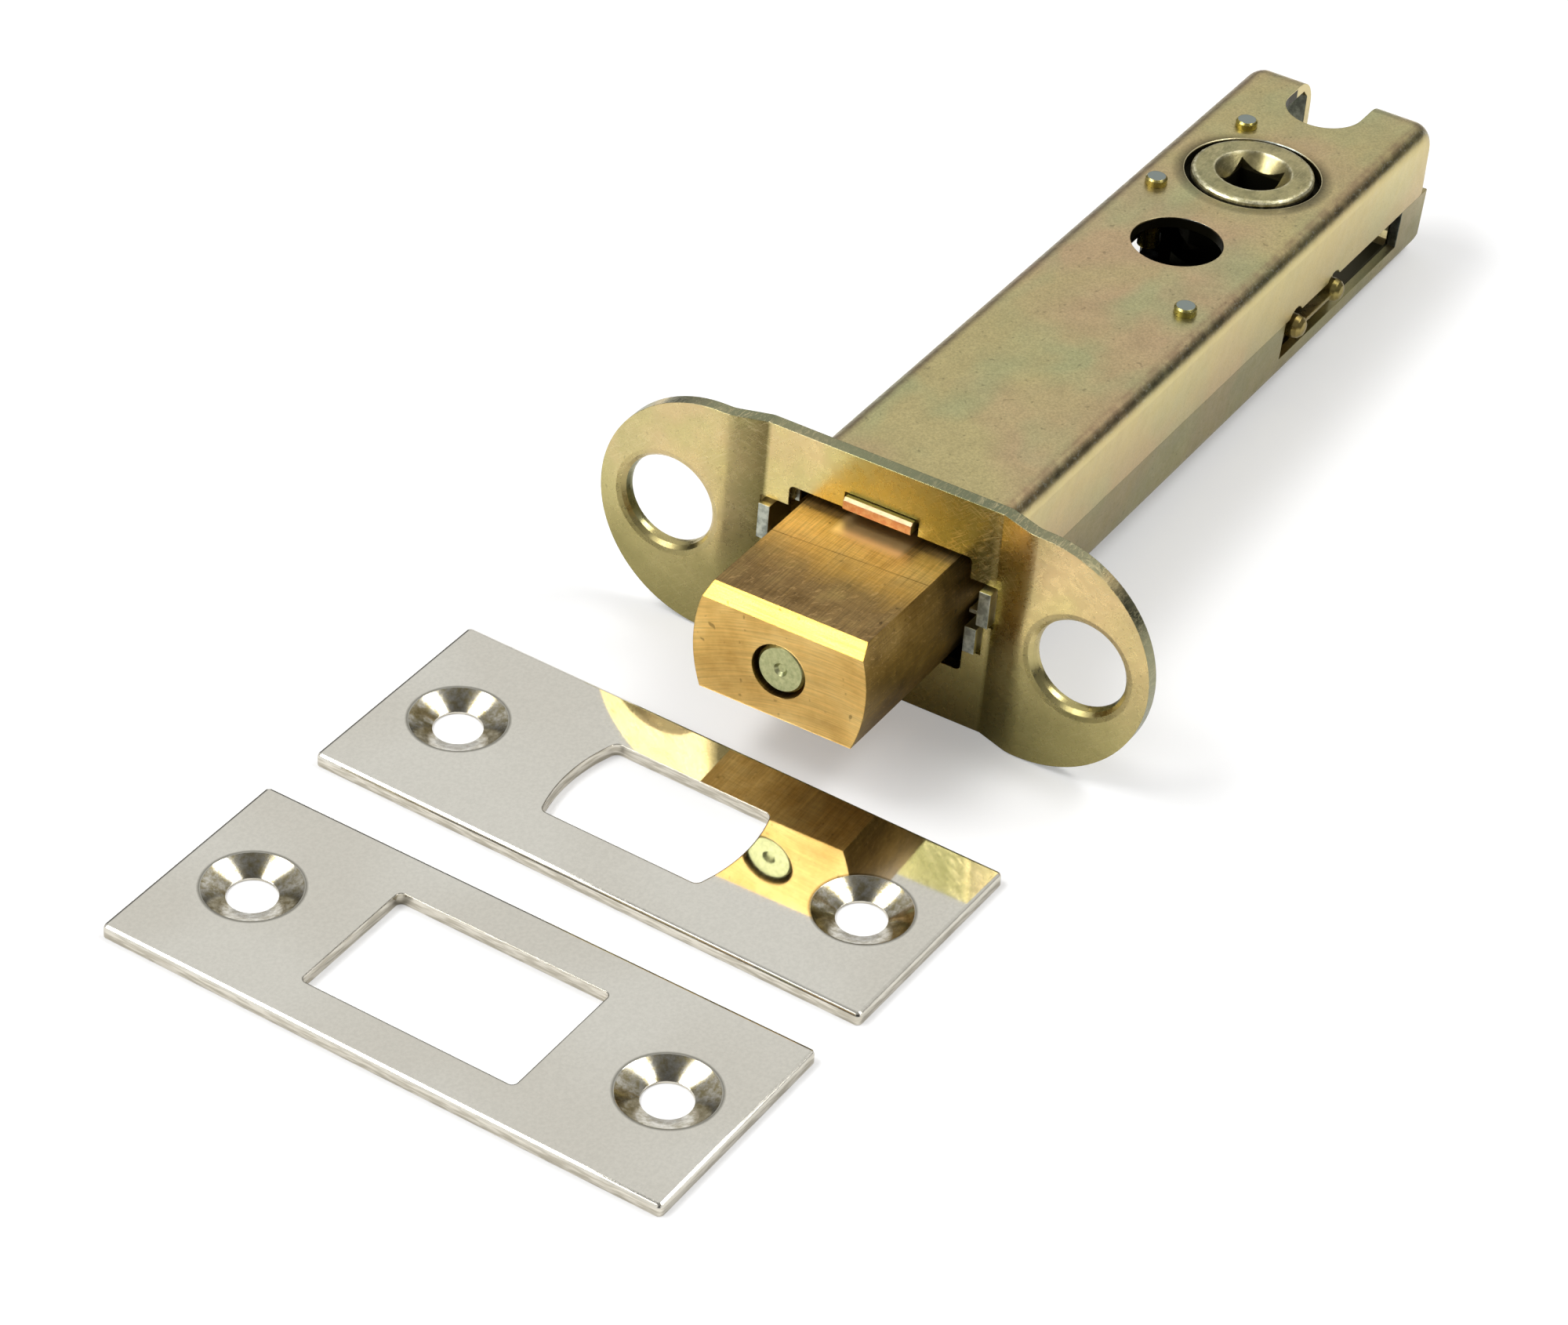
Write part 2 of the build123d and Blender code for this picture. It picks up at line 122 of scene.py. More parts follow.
def within(tree, value, low, high, soft):
    """A band: 1 where low < value < high, with a soft edge in the value's own unit."""
    rise = add(tree, "ShaderNodeMapRange", {0: value, 1: low - soft, 2: low + soft, 3: 0.0, 4: 1.0})
    fall = add(tree, "ShaderNodeMapRange", {0: value, 1: high - soft, 2: high + soft, 3: 1.0, 4: 0.0})
    return add(tree, "ShaderNodeMath", {0: rise, 1: fall}, operation="MULTIPLY")


# Zinc-plated steel with yellow chromate passivation.
# The film is a fraction of a micrometre thick, so its colour wanders between straw, pink and green in
# drifts of 13 to 22 mm, with clouds of 3 mm in its brightness. Barrel finishing under it leaves a grain
# with dark pin-pricks. Both are finer than 0.1 mm on the real sheet, and are drawn 0.2 and 0.6 mm wide so
# that they show. The marks below are laid over the base colour of one piece.
def passivated_zinc(name, film, rough, cast=0.5, marks=(), grit=1.0):
    straw, pink, green = film
    material, tree, spot = start(name)
    facing = add(tree, "ShaderNodeSeparateXYZ", {
        "Vector": add(tree, "ShaderNodeNewGeometry").outputs["Normal"],
    }).outputs
    wide = add(tree, "ShaderNodeTexNoise", {
        "Vector": spot,
        "Scale": per_metre(21.7),
        "Detail": 2.0,
        "Roughness": 0.45,
        "Distortion": 0.5,
    })
    drift = add(tree, "ShaderNodeTexNoise", {
        "Vector": add(tree, "ShaderNodeMapping", {"Vector": spot, "Scale": (1.0, 1.5, 1.3)}),
        "Scale": per_metre(12.8),
        "Detail": 2.0,
        "Roughness": 0.5,
        "Distortion": 0.3,
    })
    base = add(tree, "ShaderNodeMix", {
        0: add(tree, "ShaderNodeMapRange", {0: wide, 1: 0.44, 2: 0.62, 3: 0.0, 4: cast}),
        1: straw,
        2: pink,
    }, data_type="RGBA")
    base = add(tree, "ShaderNodeMix", {
        0: add(tree, "ShaderNodeMapRange", {0: drift, 1: 0.47, 2: 0.66, 3: 0.0, 4: cast}),
        1: base,
        2: green,
    }, data_type="RGBA")
    grain = add(tree, "ShaderNodeTexNoise", {
        "Vector": spot,
        "Scale": per_metre(0.227),
        "Detail": 2.0,
        "Roughness": 0.6,
    })
    pricks = add(tree, "ShaderNodeMapRange", {
        0: add(tree, "ShaderNodeTexNoise", {
            "Vector": spot,
            "Scale": per_metre(0.59),
            "Detail": 1.0,
            "Roughness": 0.5,
        }),
        1: 0.69,
        2: 0.76,
        3: 1.0,
        4: 0.72,
    })
    shade = add(tree, "ShaderNodeMath", {
        0: add(tree, "ShaderNodeMapRange", {
            0: grain,
            1: 0.35,
            2: 0.65,
            3: 1.0 - 0.07 * grit,
            4: 1.0 + 0.07 * grit,
        }),
        1: pricks,
    }, operation="MULTIPLY")
    shade = add(tree, "ShaderNodeMath", {
        0: shade,
        1: add(tree, "ShaderNodeMapRange", {
            0: add(tree, "ShaderNodeTexNoise", {
                "Vector": spot,
                "Scale": per_metre(3.3),
                "Detail": 3.0,
                "Roughness": 0.55,
            }),
            1: 0.35,
            2: 0.65,
            3: 0.95,
            4: 1.05,
        }),
    }, operation="MULTIPLY")
    base = add(tree, "ShaderNodeMix", {
        0: 1.0,
        1: base,
        2: shade,
    }, data_type="RGBA", blend_type="MULTIPLY")
    roughness = add(tree, "ShaderNodeMapRange", {
        0: add(tree, "ShaderNodeTexNoise", {
            "Vector": spot,
            "Scale": per_metre(1.11),
            "Detail": 3.0,
            "Roughness": 0.6,
        }),
        1: 0.35,
        2: 0.65,
        3: rough - 0.04,
        4: rough + 0.06,
    })
    edge = add(tree, "ShaderNodeBevel", {"Radius": 0.00012}, samples=4)
    normal = add(tree, "ShaderNodeBump", {
        "Height": grain,
        "Strength": 0.16 * grit,
        "Distance": 0.00004,
        "Normal": edge,
    })
    place = add(tree, "ShaderNodeSeparateXYZ", {"Vector": spot}).outputs
    for mark in marks:
        base, roughness, normal = mark(tree, place, facing, spot, base, roughness, normal)
    return bare_metal(material, base, roughness, normal)


# Sheared front ends keep no film, so the bare zinc smears over them blue-grey, in smears of 0.9 mm.
def cut_ends(tree, place, facing, spot, base, roughness, normal):
    ends = add(tree, "ShaderNodeMapRange", {0: facing["X"], 1: 0.9, 2: 0.97, 3: 0.0, 4: 1.0})
    mottle = add(tree, "ShaderNodeMapRange", {
        0: add(tree, "ShaderNodeTexNoise", {
            "Vector": spot,
            "Scale": per_metre(0.91),
            "Detail": 3.0,
            "Roughness": 0.6,
        }),
        1: 0.4,
        2: 0.62,
        3: 0.0,
        4: 1.0,
    })
    base = add(tree, "ShaderNodeMix", {
        0: ends,
        1: base,
        2: add(tree, "ShaderNodeMix", {
            0: mottle,
            1: linear("8B918A"),
            2: linear("C0C5BC"),
        }, data_type="RGBA"),
    }, data_type="RGBA")
    return base, roughness, normal


# A post's riveted head is struck after plating: its top is bare and bluish.
def struck_head(tree, place, facing, spot, base, roughness, normal):
    head = add(tree, "ShaderNodeMapRange", {0: facing["Z"], 1: 0.9, 2: 0.97, 3: 0.0, 4: 1.0})
    base = add(tree, "ShaderNodeMix", {0: head, 1: base, 2: linear("929B95")}, data_type="RGBA")
    roughness = add(tree, "ShaderNodeMath", {
        0: roughness,
        1: add(tree, "ShaderNodeMath", {0: head, 1: 0.08}, operation="MULTIPLY"),
    }, operation="ADD")
    return base, roughness, normal


# Inside the case the faces are painted dark: painted shade for the little light that reaches them.
# Two boxes hold them: a low one as wide as the inside, and a full-height one clear of the rounded edges.
def painted_shade_inside(tree, place, facing, spot, base, roughness, normal):
    painted_shade_mask = 0.0
    for half_y, low_z, high_z, rear_x in SHADED_INSIDE_BOXES:
        box = add(tree, "ShaderNodeMath", {
            0: within(tree, place["Z"], low_z, high_z, MASK_EDGE),
            1: within(tree, place["Y"], -half_y, half_y, MASK_EDGE),
        }, operation="MULTIPLY")
        box = add(tree, "ShaderNodeMath", {
            0: box,
            1: within(tree, place["X"], rear_x, SHADE_INSIDE_FRONT, MASK_EDGE),
        }, operation="MULTIPLY")
        painted_shade_mask = add(tree, "ShaderNodeMath", {0: painted_shade_mask, 1: box}, operation="MAXIMUM")
    # Painted shade on the faces inside the case
    base = add(tree, "ShaderNodeMix", {0: painted_shade_mask, 1: base, 2: linear("45412E")}, data_type="RGBA")
    roughness = add(tree, "ShaderNodeMix", {0: painted_shade_mask, 1: roughness, 2: 0.45}, data_type="FLOAT")
    return base, roughness, normal


# The upper shell's front tab ends in the forend's mouth: its end is painted bright salmon, a painted
# highlight, with a mottle of 0.6 mm, and its flat is olive.
def tab_end_painted_highlight(tree, place, facing, spot, base, roughness, normal):
    tab = add(tree, "ShaderNodeMath", {
        0: within(tree, place["Y"], -TAB_HALF, TAB_HALF, 0.0001),
        1: add(tree, "ShaderNodeMapRange", {
            0: place["X"],
            1: TAB_ROOT,
            2: TAB_ROOT + 0.0001,
            3: 0.0,
            4: 1.0,
        }),
    }, operation="MULTIPLY")
    flat = add(tree, "ShaderNodeMath", {
        0: tab,
        1: add(tree, "ShaderNodeMapRange", {0: facing["Z"], 1: 0.5, 2: 0.8, 3: 0.0, 4: 0.85}),
    }, operation="MULTIPLY")
    base = add(tree, "ShaderNodeMix", {0: flat, 1: base, 2: linear("7A7244")}, data_type="RGBA")
    # The tab's end, painted bright salmon: a painted highlight
    painted_highlight_end = add(tree, "ShaderNodeMath", {
        0: tab,
        1: add(tree, "ShaderNodeMapRange", {0: facing["X"], 1: 0.55, 2: 0.9, 3: 0.0, 4: 1.0}),
    }, operation="MULTIPLY")
    mottle = add(tree, "ShaderNodeMapRange", {
        0: add(tree, "ShaderNodeTexNoise", {
            "Vector": spot,
            "Scale": per_metre(0.56),
            "Detail": 3.0,
            "Roughness": 0.6,
        }),
        1: 0.4,
        2: 0.6,
        3: 0.0,
        4: 1.0,
    })
    base = add(tree, "ShaderNodeMix", {
        0: painted_highlight_end,
        1: base,
        2: add(tree, "ShaderNodeMix", {
            0: mottle,
            1: linear("D8A288"),
            2: linear("E8C2A2"),
        }, data_type="RGBA"),
    }, data_type="RGBA")
    roughness = add(tree, "ShaderNodeMath", {
        0: roughness,
        1: add(tree, "ShaderNodeMath", {0: painted_highlight_end, 1: 0.12}, operation="MULTIPLY"),
    }, operation="ADD")
    return base, roughness, normal


# Along the upper shell's bends the film is stretched and mauve on the top's side of the bend. Then a dark
# line of painted shade runs along the bend, with bright flecks, and the side wall below is painted lighter
# and golden, painted light that grows towards its top. The streaks are 1 mm wide and 7 mm long. Real
# flecks are finer than the 0.3 mm that lets them show here.
def bend_film_and_painted_light(tree, place, facing, spot, base, roughness, normal):
    lean = add(tree, "ShaderNodeMath", {0: facing["Y"]}, operation="ABSOLUTE")
    streaks = add(tree, "ShaderNodeTexNoise", {
        "Vector": add(tree, "ShaderNodeMapping", {
            "Vector": add(tree, "ShaderNodeMapping", {"Vector": spot, "Rotation": (0.0, 0.5, 0.0)}),
            "Scale": (1.0, 1.0, 0.16),
        }),
        "Scale": per_metre(1.11),
        "Detail": 3.0,
        "Roughness": 0.6,
    })
    # The side wall is painted lighter and golden: painted light that grows towards its top
    wall = add(tree, "ShaderNodeMapRange", {0: lean, 1: 0.75, 2: 0.95, 3: 0.0, 4: 1.0})
    painted_light_gold = add(tree, "ShaderNodeMath", {
        0: add(tree, "ShaderNodeMapRange", {0: place["Z"], 1: -0.0005, 2: 0.0062, 3: 0.15, 4: 1.0}),
        1: add(tree, "ShaderNodeMapRange", {0: streaks, 1: 0.35, 2: 0.65, 3: 0.75, 4: 1.0}),
    }, operation="MULTIPLY")
    base = add(tree, "ShaderNodeMix", {
        0: add(tree, "ShaderNodeMath", {
            0: wall,
            1: add(tree, "ShaderNodeMath", {0: painted_light_gold, 1: 0.8}, operation="MULTIPLY"),
        }, operation="MULTIPLY"),
        1: base,
        2: linear("E6D58C"),
    }, data_type="RGBA")
    base = add(tree, "ShaderNodeMix", {
        0: add(tree, "ShaderNodeMath", {0: wall, 1: 0.3}, operation="MULTIPLY"),
        1: base,
        2: linear("E2CFA2"),
    }, data_type="RGBA")
    mauve = add(tree, "ShaderNodeMath", {
        0: within(tree, lean, 0.16, 0.66, 0.12),
        1: add(tree, "ShaderNodeMapRange", {0: streaks, 1: 0.35, 2: 0.6, 3: 0.5, 4: 1.0}),
    }, operation="MULTIPLY")
    base = add(tree, "ShaderNodeMix", {
        0: add(tree, "ShaderNodeMath", {0: mauve, 1: 0.6}, operation="MULTIPLY"),
        1: base,
        2: linear("7E6450"),
    }, data_type="RGBA")
    # A dark line of painted shade along the bend, with bright flecks on it
    painted_shade_line = within(tree, lean, 0.58, 0.88, 0.12)
    flecks = add(tree, "ShaderNodeMapRange", {
        0: add(tree, "ShaderNodeTexNoise", {
            "Vector": add(tree, "ShaderNodeMapping", {"Vector": spot, "Scale": (0.7, 1.0, 1.0)}),
            "Scale": per_metre(0.29),
            "Detail": 2.0,
            "Roughness": 0.6,
        }),
        1: 0.56,
        2: 0.66,
        3: 0.0,
        4: 1.0,
    })
    base = add(tree, "ShaderNodeMix", {
        0: add(tree, "ShaderNodeMath", {
            0: painted_shade_line,
            1: add(tree, "ShaderNodeMapRange", {0: streaks, 1: 0.35, 2: 0.6, 3: 0.25, 4: 0.6}),
        }, operation="MULTIPLY"),
        1: base,
        2: linear("554C38"),
    }, data_type="RGBA")
    base = add(tree, "ShaderNodeMix", {
        0: add(tree, "ShaderNodeMath", {
            0: painted_shade_line,
            1: add(tree, "ShaderNodeMath", {0: flecks, 1: 0.45}, operation="MULTIPLY"),
        }, operation="MULTIPLY"),
        1: base,
        2: linear("D8D6C0"),
    }, data_type="RGBA")
    return base, roughness, normal


# Distance from the follower's axis, and how far to the side of it a point lies (0 ahead, 1 beside).
def round_follower(tree, spot, place):
    centre = add(tree, "ShaderNodeCombineXYZ", {"X": FOLLOWER_X, "Y": 0.0, "Z": place["Z"]})
    radius = add(tree, "ShaderNodeVectorMath", {0: spot, 1: centre}, operation="DISTANCE")
    aside = add(tree, "ShaderNodeMath", {0: place["Y"]}, operation="ABSOLUTE")
    beside = add(tree, "ShaderNodeMath", {0: aside, 1: radius}, operation="DIVIDE")
    return radius, beside


# The upper shell dips where the follower's hole was pressed through it, and round the hole it is darkened
# with painted shade, most towards its side walls. The punch rolled the hole's wall over, so the wall leans
# back; it also carries a painted highlight.
def dished_hole_painted_light(tree, place, facing, spot, base, roughness, normal):
    radius, beside = round_follower(tree, spot, place)
    rise = add(tree, "ShaderNodeMapRange", {
        0: radius,
        1: HOLE_INSIDE,
        2: DISH_EDGE,
    }, interpolation_type="SMOOTHSTEP")
    dip = add(tree, "ShaderNodeBump", {
        "Height": rise,
        "Strength": 1.0,
        "Distance": 0.00022,
        "Normal": normal,
    })
    # Painted shade round the hole, most towards the side walls
    painted_shade_ring = add(tree, "ShaderNodeMath", {
        0: add(tree, "ShaderNodeMapRange", {0: radius, 1: HOLE_OUTSIDE, 2: DISH_EDGE, 3: 1.0, 4: 0.0}),
        1: add(tree, "ShaderNodeMapRange", {0: beside, 1: 0.25, 2: 0.85, 3: 0.2, 4: 0.8}),
    }, operation="MULTIPLY")
    wall = add(tree, "ShaderNodeMath", {
        0: within(tree, radius, HOLE_INSIDE, HOLE_OUTSIDE, MASK_EDGE),
        1: add(tree, "ShaderNodeMapRange", {0: place["Z"], 1: 0.0078, 2: 0.008, 3: 0.0, 4: 1.0}),
    }, operation="MULTIPLY")
    back = add(tree, "ShaderNodeVectorMath", {0: dip, 1: (0.0, 0.0, 1.1)}, operation="ADD")
    back = add(tree, "ShaderNodeVectorMath", {0: back}, operation="NORMALIZE")
    normal = add(tree, "ShaderNodeMix", {0: wall, 1: dip, 2: back}, data_type="VECTOR")
    base = add(tree, "ShaderNodeMix", {0: painted_shade_ring, 1: base, 2: linear("35321C")}, data_type="RGBA")
    # Painted highlight on the hole's wall
    base = add(tree, "ShaderNodeMix", {
        0: add(tree, "ShaderNodeMath", {0: wall, 1: 0.8}, operation="MULTIPLY"),
        1: base,
        2: linear("E8DCB0"),
    }, data_type="RGBA")
    return base, roughness, normal


# The follower is painted dark below its rims, where it turns in the shells, and in its square hole: painted
# shade.
def hub_painted_shade(tree, place, facing, spot, base, roughness, normal):
    radius, _ = round_follower(tree, spot, place)
    painted_shade_mask = add(tree, "ShaderNodeMath", {
        0: within(tree, place["Z"], -0.0077, 0.0077, 0.0001),
        1: add(tree, "ShaderNodeMapRange", {0: radius, 1: HUB_CORE, 2: HUB_CORE + 0.0002, 3: 0.0, 4: 1.0}),
    }, operation="MULTIPLY")
    core = add(tree, "ShaderNodeMath", {
        0: within(tree, place["Z"], -0.006, 0.0068, 0.0002),
        1: add(tree, "ShaderNodeMapRange", {0: radius, 1: HUB_CORE, 2: HUB_CORE + 0.0002, 3: 1.0, 4: 0.0}),
    }, operation="MULTIPLY")
    painted_shade_mask = add(tree, "ShaderNodeMath", {0: painted_shade_mask, 1: core}, operation="MAXIMUM")
    # Painted shade below the rims and in the square hole
    base = add(tree, "ShaderNodeMix", {0: painted_shade_mask, 1: base, 2: linear("2A281C")}, data_type="RGBA")
    roughness = add(tree, "ShaderNodeMix", {0: painted_shade_mask, 1: roughness, 2: 0.6}, data_type="FLOAT")
    return base, roughness, normal


# The follower's rims are worn bright and carry a painted highlight, in specks of 0.8 mm. The boss between
# them is mottled in patches of 2.4 mm, and the cone behind them is painted darker.
def rims_worn_and_highlit(tree, place, facing, spot, base, roughness, normal):
    radius, _ = round_follower(tree, spot, place)
    specks = add(tree, "ShaderNodeMapRange", {
        0: add(tree, "ShaderNodeTexNoise", {
            "Vector": spot,
            "Scale": per_metre(0.77),
            "Detail": 4.0,
            "Roughness": 0.7,
        }),
        1: 0.42,
        2: 0.6,
        3: 0.15,
        4: 1.0,
    })
    # The rims: worn bright, with a painted highlight over the wear
    outer = within(tree, radius, *OUTER_RIM, RIM_EDGE)
    inner = within(tree, radius, *INNER_RIM, 0.0001)
    wear_and_painted_glint = add(tree, "ShaderNodeMath", {
        0: add(tree, "ShaderNodeMath", {
            0: outer,
            1: add(tree, "ShaderNodeMath", {0: inner, 1: 0.6}, operation="MULTIPLY"),
        }, operation="MAXIMUM"),
        1: specks,
    }, operation="MULTIPLY")
    mottle = add(tree, "ShaderNodeMapRange", {
        0: add(tree, "ShaderNodeTexNoise", {
            "Vector": spot,
            "Scale": per_metre(2.4),
            "Detail": 4.0,
            "Roughness": 0.65,
        }),
        1: 0.42,
        2: 0.62,
        3: 0.0,
        4: 0.55,
    })
    base = add(tree, "ShaderNodeMix", {0: mottle, 1: base, 2: linear("75724E")}, data_type="RGBA")
    cone = add(tree, "ShaderNodeMapRange", {0: radius, 1: 0.0038, 2: 0.0041, 3: 0.6, 4: 0.0})
    base = add(tree, "ShaderNodeMix", {0: cone, 1: base, 2: linear("8A8058")}, data_type="RGBA")
    base = add(tree, "ShaderNodeMix", {0: wear_and_painted_glint, 1: base, 2: linear("F2ECC8")}, data_type="RGBA")
    return base, roughness, normal


# Handling marks: close short scratches, 1.5 mm long, that catch the light in patches of 8 mm. A real one is
# a few hundredths of a millimetre wide, and they are drawn 0.2 mm wide so that they show.
def scratched(depth, low_z=-1.0):
    def mark(tree, place, facing, spot, base, roughness, normal):
        wear_and_painted_glint = add(tree, "ShaderNodeTexNoise", {
            "Vector": add(tree, "ShaderNodeMapping", {
                "Vector": add(tree, "ShaderNodeMapping", {"Vector": spot, "Rotation": (0.9, 0.0, 0.0)}),
                "Scale": (1.0, 8.0, 0.8),
            }),
            "Scale": per_metre(1.25),
            "Detail": 3.0,
            "Roughness": 0.7,
            "Distortion": 0.9,
        })
        crossed = add(tree, "ShaderNodeTexNoise", {
            "Vector": add(tree, "ShaderNodeMapping", {
                "Vector": add(tree, "ShaderNodeMapping", {"Vector": spot, "Rotation": (0.5, 0.0, 0.0)}),
                "Scale": (1.0, 0.7, 8.0),
            }),
            "Scale": per_metre(1.32),
            "Detail": 3.0,
            "Roughness": 0.7,
            "Distortion": 0.7,
        })
        lines = add(tree, "ShaderNodeMath", {
            0: add(tree, "ShaderNodeMapRange", {0: wear_and_painted_glint, 1: 0.53, 2: 0.64, 3: 0.0, 4: 1.0}),
            1: add(tree, "ShaderNodeMapRange", {0: crossed, 1: 0.55, 2: 0.66, 3: 0.0, 4: 1.0}),
        }, operation="MAXIMUM")
        patch = add(tree, "ShaderNodeMapRange", {
            0: add(tree, "ShaderNodeTexNoise", {
                "Vector": spot,
                "Scale": per_metre(7.7),
                "Detail": 2.0,
                "Roughness": 0.5,
            }),
            1: 0.38,
            2: 0.6,
            3: 0.15,
            4: 1.0,
        })
        high = add(tree, "ShaderNodeMapRange", {
            0: place["Z"],
            1: low_z,
            2: low_z + 0.006,
            3: 0.25,
            4: 1.0,
        })
        lines = add(tree, "ShaderNodeMath", {
            0: add(tree, "ShaderNodeMath", {0: lines, 1: patch}, operation="MULTIPLY"),
            1: high,
        }, operation="MULTIPLY")
        pale = add(tree, "ShaderNodeMath", {0: lines, 1: 0.55 * depth}, operation="MULTIPLY")
        bump = add(tree, "ShaderNodeBump", {
            "Height": lines,
            "Strength": 0.22 * depth,
            "Distance": 0.00004,
            "Normal": normal,
        })
        base = add(tree, "ShaderNodeMix", {0: pale, 1: base, 2: linear("EAD9A8")}, data_type="RGBA")
        return base, roughness, bump
    return mark


# The forend's film is painted golden with a pink bloom above, as painted light, and olive below, as
# painted shade. It is greener over the mouth, painted darker to the right above the mouth as shade, and
# darkest on the joggle's slopes, painted shade too. Its levels wander over 8 mm, and the bloom comes in
# clouds of 6 mm.
def forend_painted_light_and_shade(tree, place, facing, spot, base, roughness, normal):
    wander = add(tree, "ShaderNodeMapRange", {
        0: add(tree, "ShaderNodeTexNoise", {
            "Vector": spot,
            "Scale": per_metre(8.3),
            "Detail": 3.0,
            "Roughness": 0.5,
        }),
        1: 0.3,
        2: 0.7,
        3: -0.003,
        4: 0.003,
    })
    level = add(tree, "ShaderNodeMath", {0: place["Z"], 1: wander}, operation="ADD")
    # Painted shade: olive, growing towards the bottom
    base = add(tree, "ShaderNodeMix", {
        0: add(tree, "ShaderNodeMapRange", {0: level, 1: -0.008, 2: 0.003, 3: 0.85, 4: 0.0}),
        1: base,
        2: linear("978E5A"),
    }, data_type="RGBA")
    # Painted light: a pink-gold bloom towards the top
    painted_light_bloom = add(tree, "ShaderNodeMath", {
        0: add(tree, "ShaderNodeMapRange", {0: level, 1: 0.001, 2: 0.008, 3: 0.0, 4: 1.0}),
        1: add(tree, "ShaderNodeMapRange", {
            0: add(tree, "ShaderNodeTexNoise", {
                "Vector": spot,
                "Scale": per_metre(6.25),
                "Detail": 2.0,
                "Roughness": 0.5,
            }),
            1: 0.45,
            2: 0.6,
            3: 0.0,
            4: 1.0,
        }),
    }, operation="MULTIPLY")
    middle = within(tree, place["Y"], -0.005, JOGGLE, 0.002)
    painted_light_bloom = add(tree, "ShaderNodeMath", {
        0: painted_light_bloom,
        1: add(tree, "ShaderNodeMapRange", {0: middle, 1: 0.0, 2: 1.0, 3: 0.55, 4: 0.0}),
    }, operation="MULTIPLY")
    base = add(tree, "ShaderNodeMix", {0: painted_light_bloom, 1: base, 2: linear("E6C898")}, data_type="RGBA")
    middle = add(tree, "ShaderNodeMath", {
        0: middle,
        1: add(tree, "ShaderNodeMapRange", {0: place["Z"], 1: 0.002, 2: 0.004, 3: 0.0, 4: 0.45}),
    }, operation="MULTIPLY")
    base = add(tree, "ShaderNodeMix", {0: middle, 1: base, 2: linear("9CA468")}, data_type="RGBA")
    # Painted shade: darker towards the right above the mouth
    right = add(tree, "ShaderNodeMath", {
        0: add(tree, "ShaderNodeMapRange", {0: place["Y"], 1: 0.0, 2: 0.008, 3: 0.0, 4: 0.72}),
        1: within(tree, place["Y"], -0.004, JOGGLE, 0.0005),
    }, operation="MULTIPLY")
    base = add(tree, "ShaderNodeMix", {
        0: add(tree, "ShaderNodeMath", {
            0: right,
            1: add(tree, "ShaderNodeMapRange", {0: place["Z"], 1: 0.002, 2: 0.004, 3: 0.0, 4: 1.0}),
        }, operation="MULTIPLY"),
        1: base,
        2: linear("5A5C34"),
    }, data_type="RGBA")
    aside = add(tree, "ShaderNodeMath", {0: place["Y"]}, operation="ABSOLUTE")
    # Painted shade: darkest on the joggle's slopes
    slope = add(tree, "ShaderNodeMath", {
        0: add(tree, "ShaderNodeMapRange", {0: aside, 1: JOGGLE, 2: 0.0126, 3: 0.0, 4: 1.0}),
        1: add(tree, "ShaderNodeMapRange", {0: aside, 1: 0.013, 2: JOGGLE_FOOT, 3: 0.72, 4: 0.0}),
    }, operation="MULTIPLY")
    base = add(tree, "ShaderNodeMix", {0: slope, 1: base, 2: linear("726C3C")}, data_type="RGBA")
    rim = add(tree, "ShaderNodeMath", {
        0: add(tree, "ShaderNodeMapRange", {
            0: add(tree, "ShaderNodeMath", {0: place["Z"]}, operation="ABSOLUTE"),
            1: 0.0105,
            2: 0.011,
            3: 0.0,
            4: 1.0,
        }),
        1: add(tree, "ShaderNodeMapRange", {0: aside, 1: 0.024, 2: 0.026, 3: 0.0, 4: 1.0}),
    }, operation="MAXIMUM")
    rim = add(tree, "ShaderNodeMath", {
        0: rim,
        1: add(tree, "ShaderNodeMapRange", {
            0: add(tree, "ShaderNodeMath", {0: facing["X"]}, operation="ABSOLUTE"),
            1: 0.3,
            2: 0.7,
            3: 0.85,
            4: 0.0,
        }),
    }, operation="MULTIPLY")
    base = add(tree, "ShaderNodeMix", {0: rim, 1: base, 2: linear("7F8468")}, data_type="RGBA")
    return base, roughness, normal
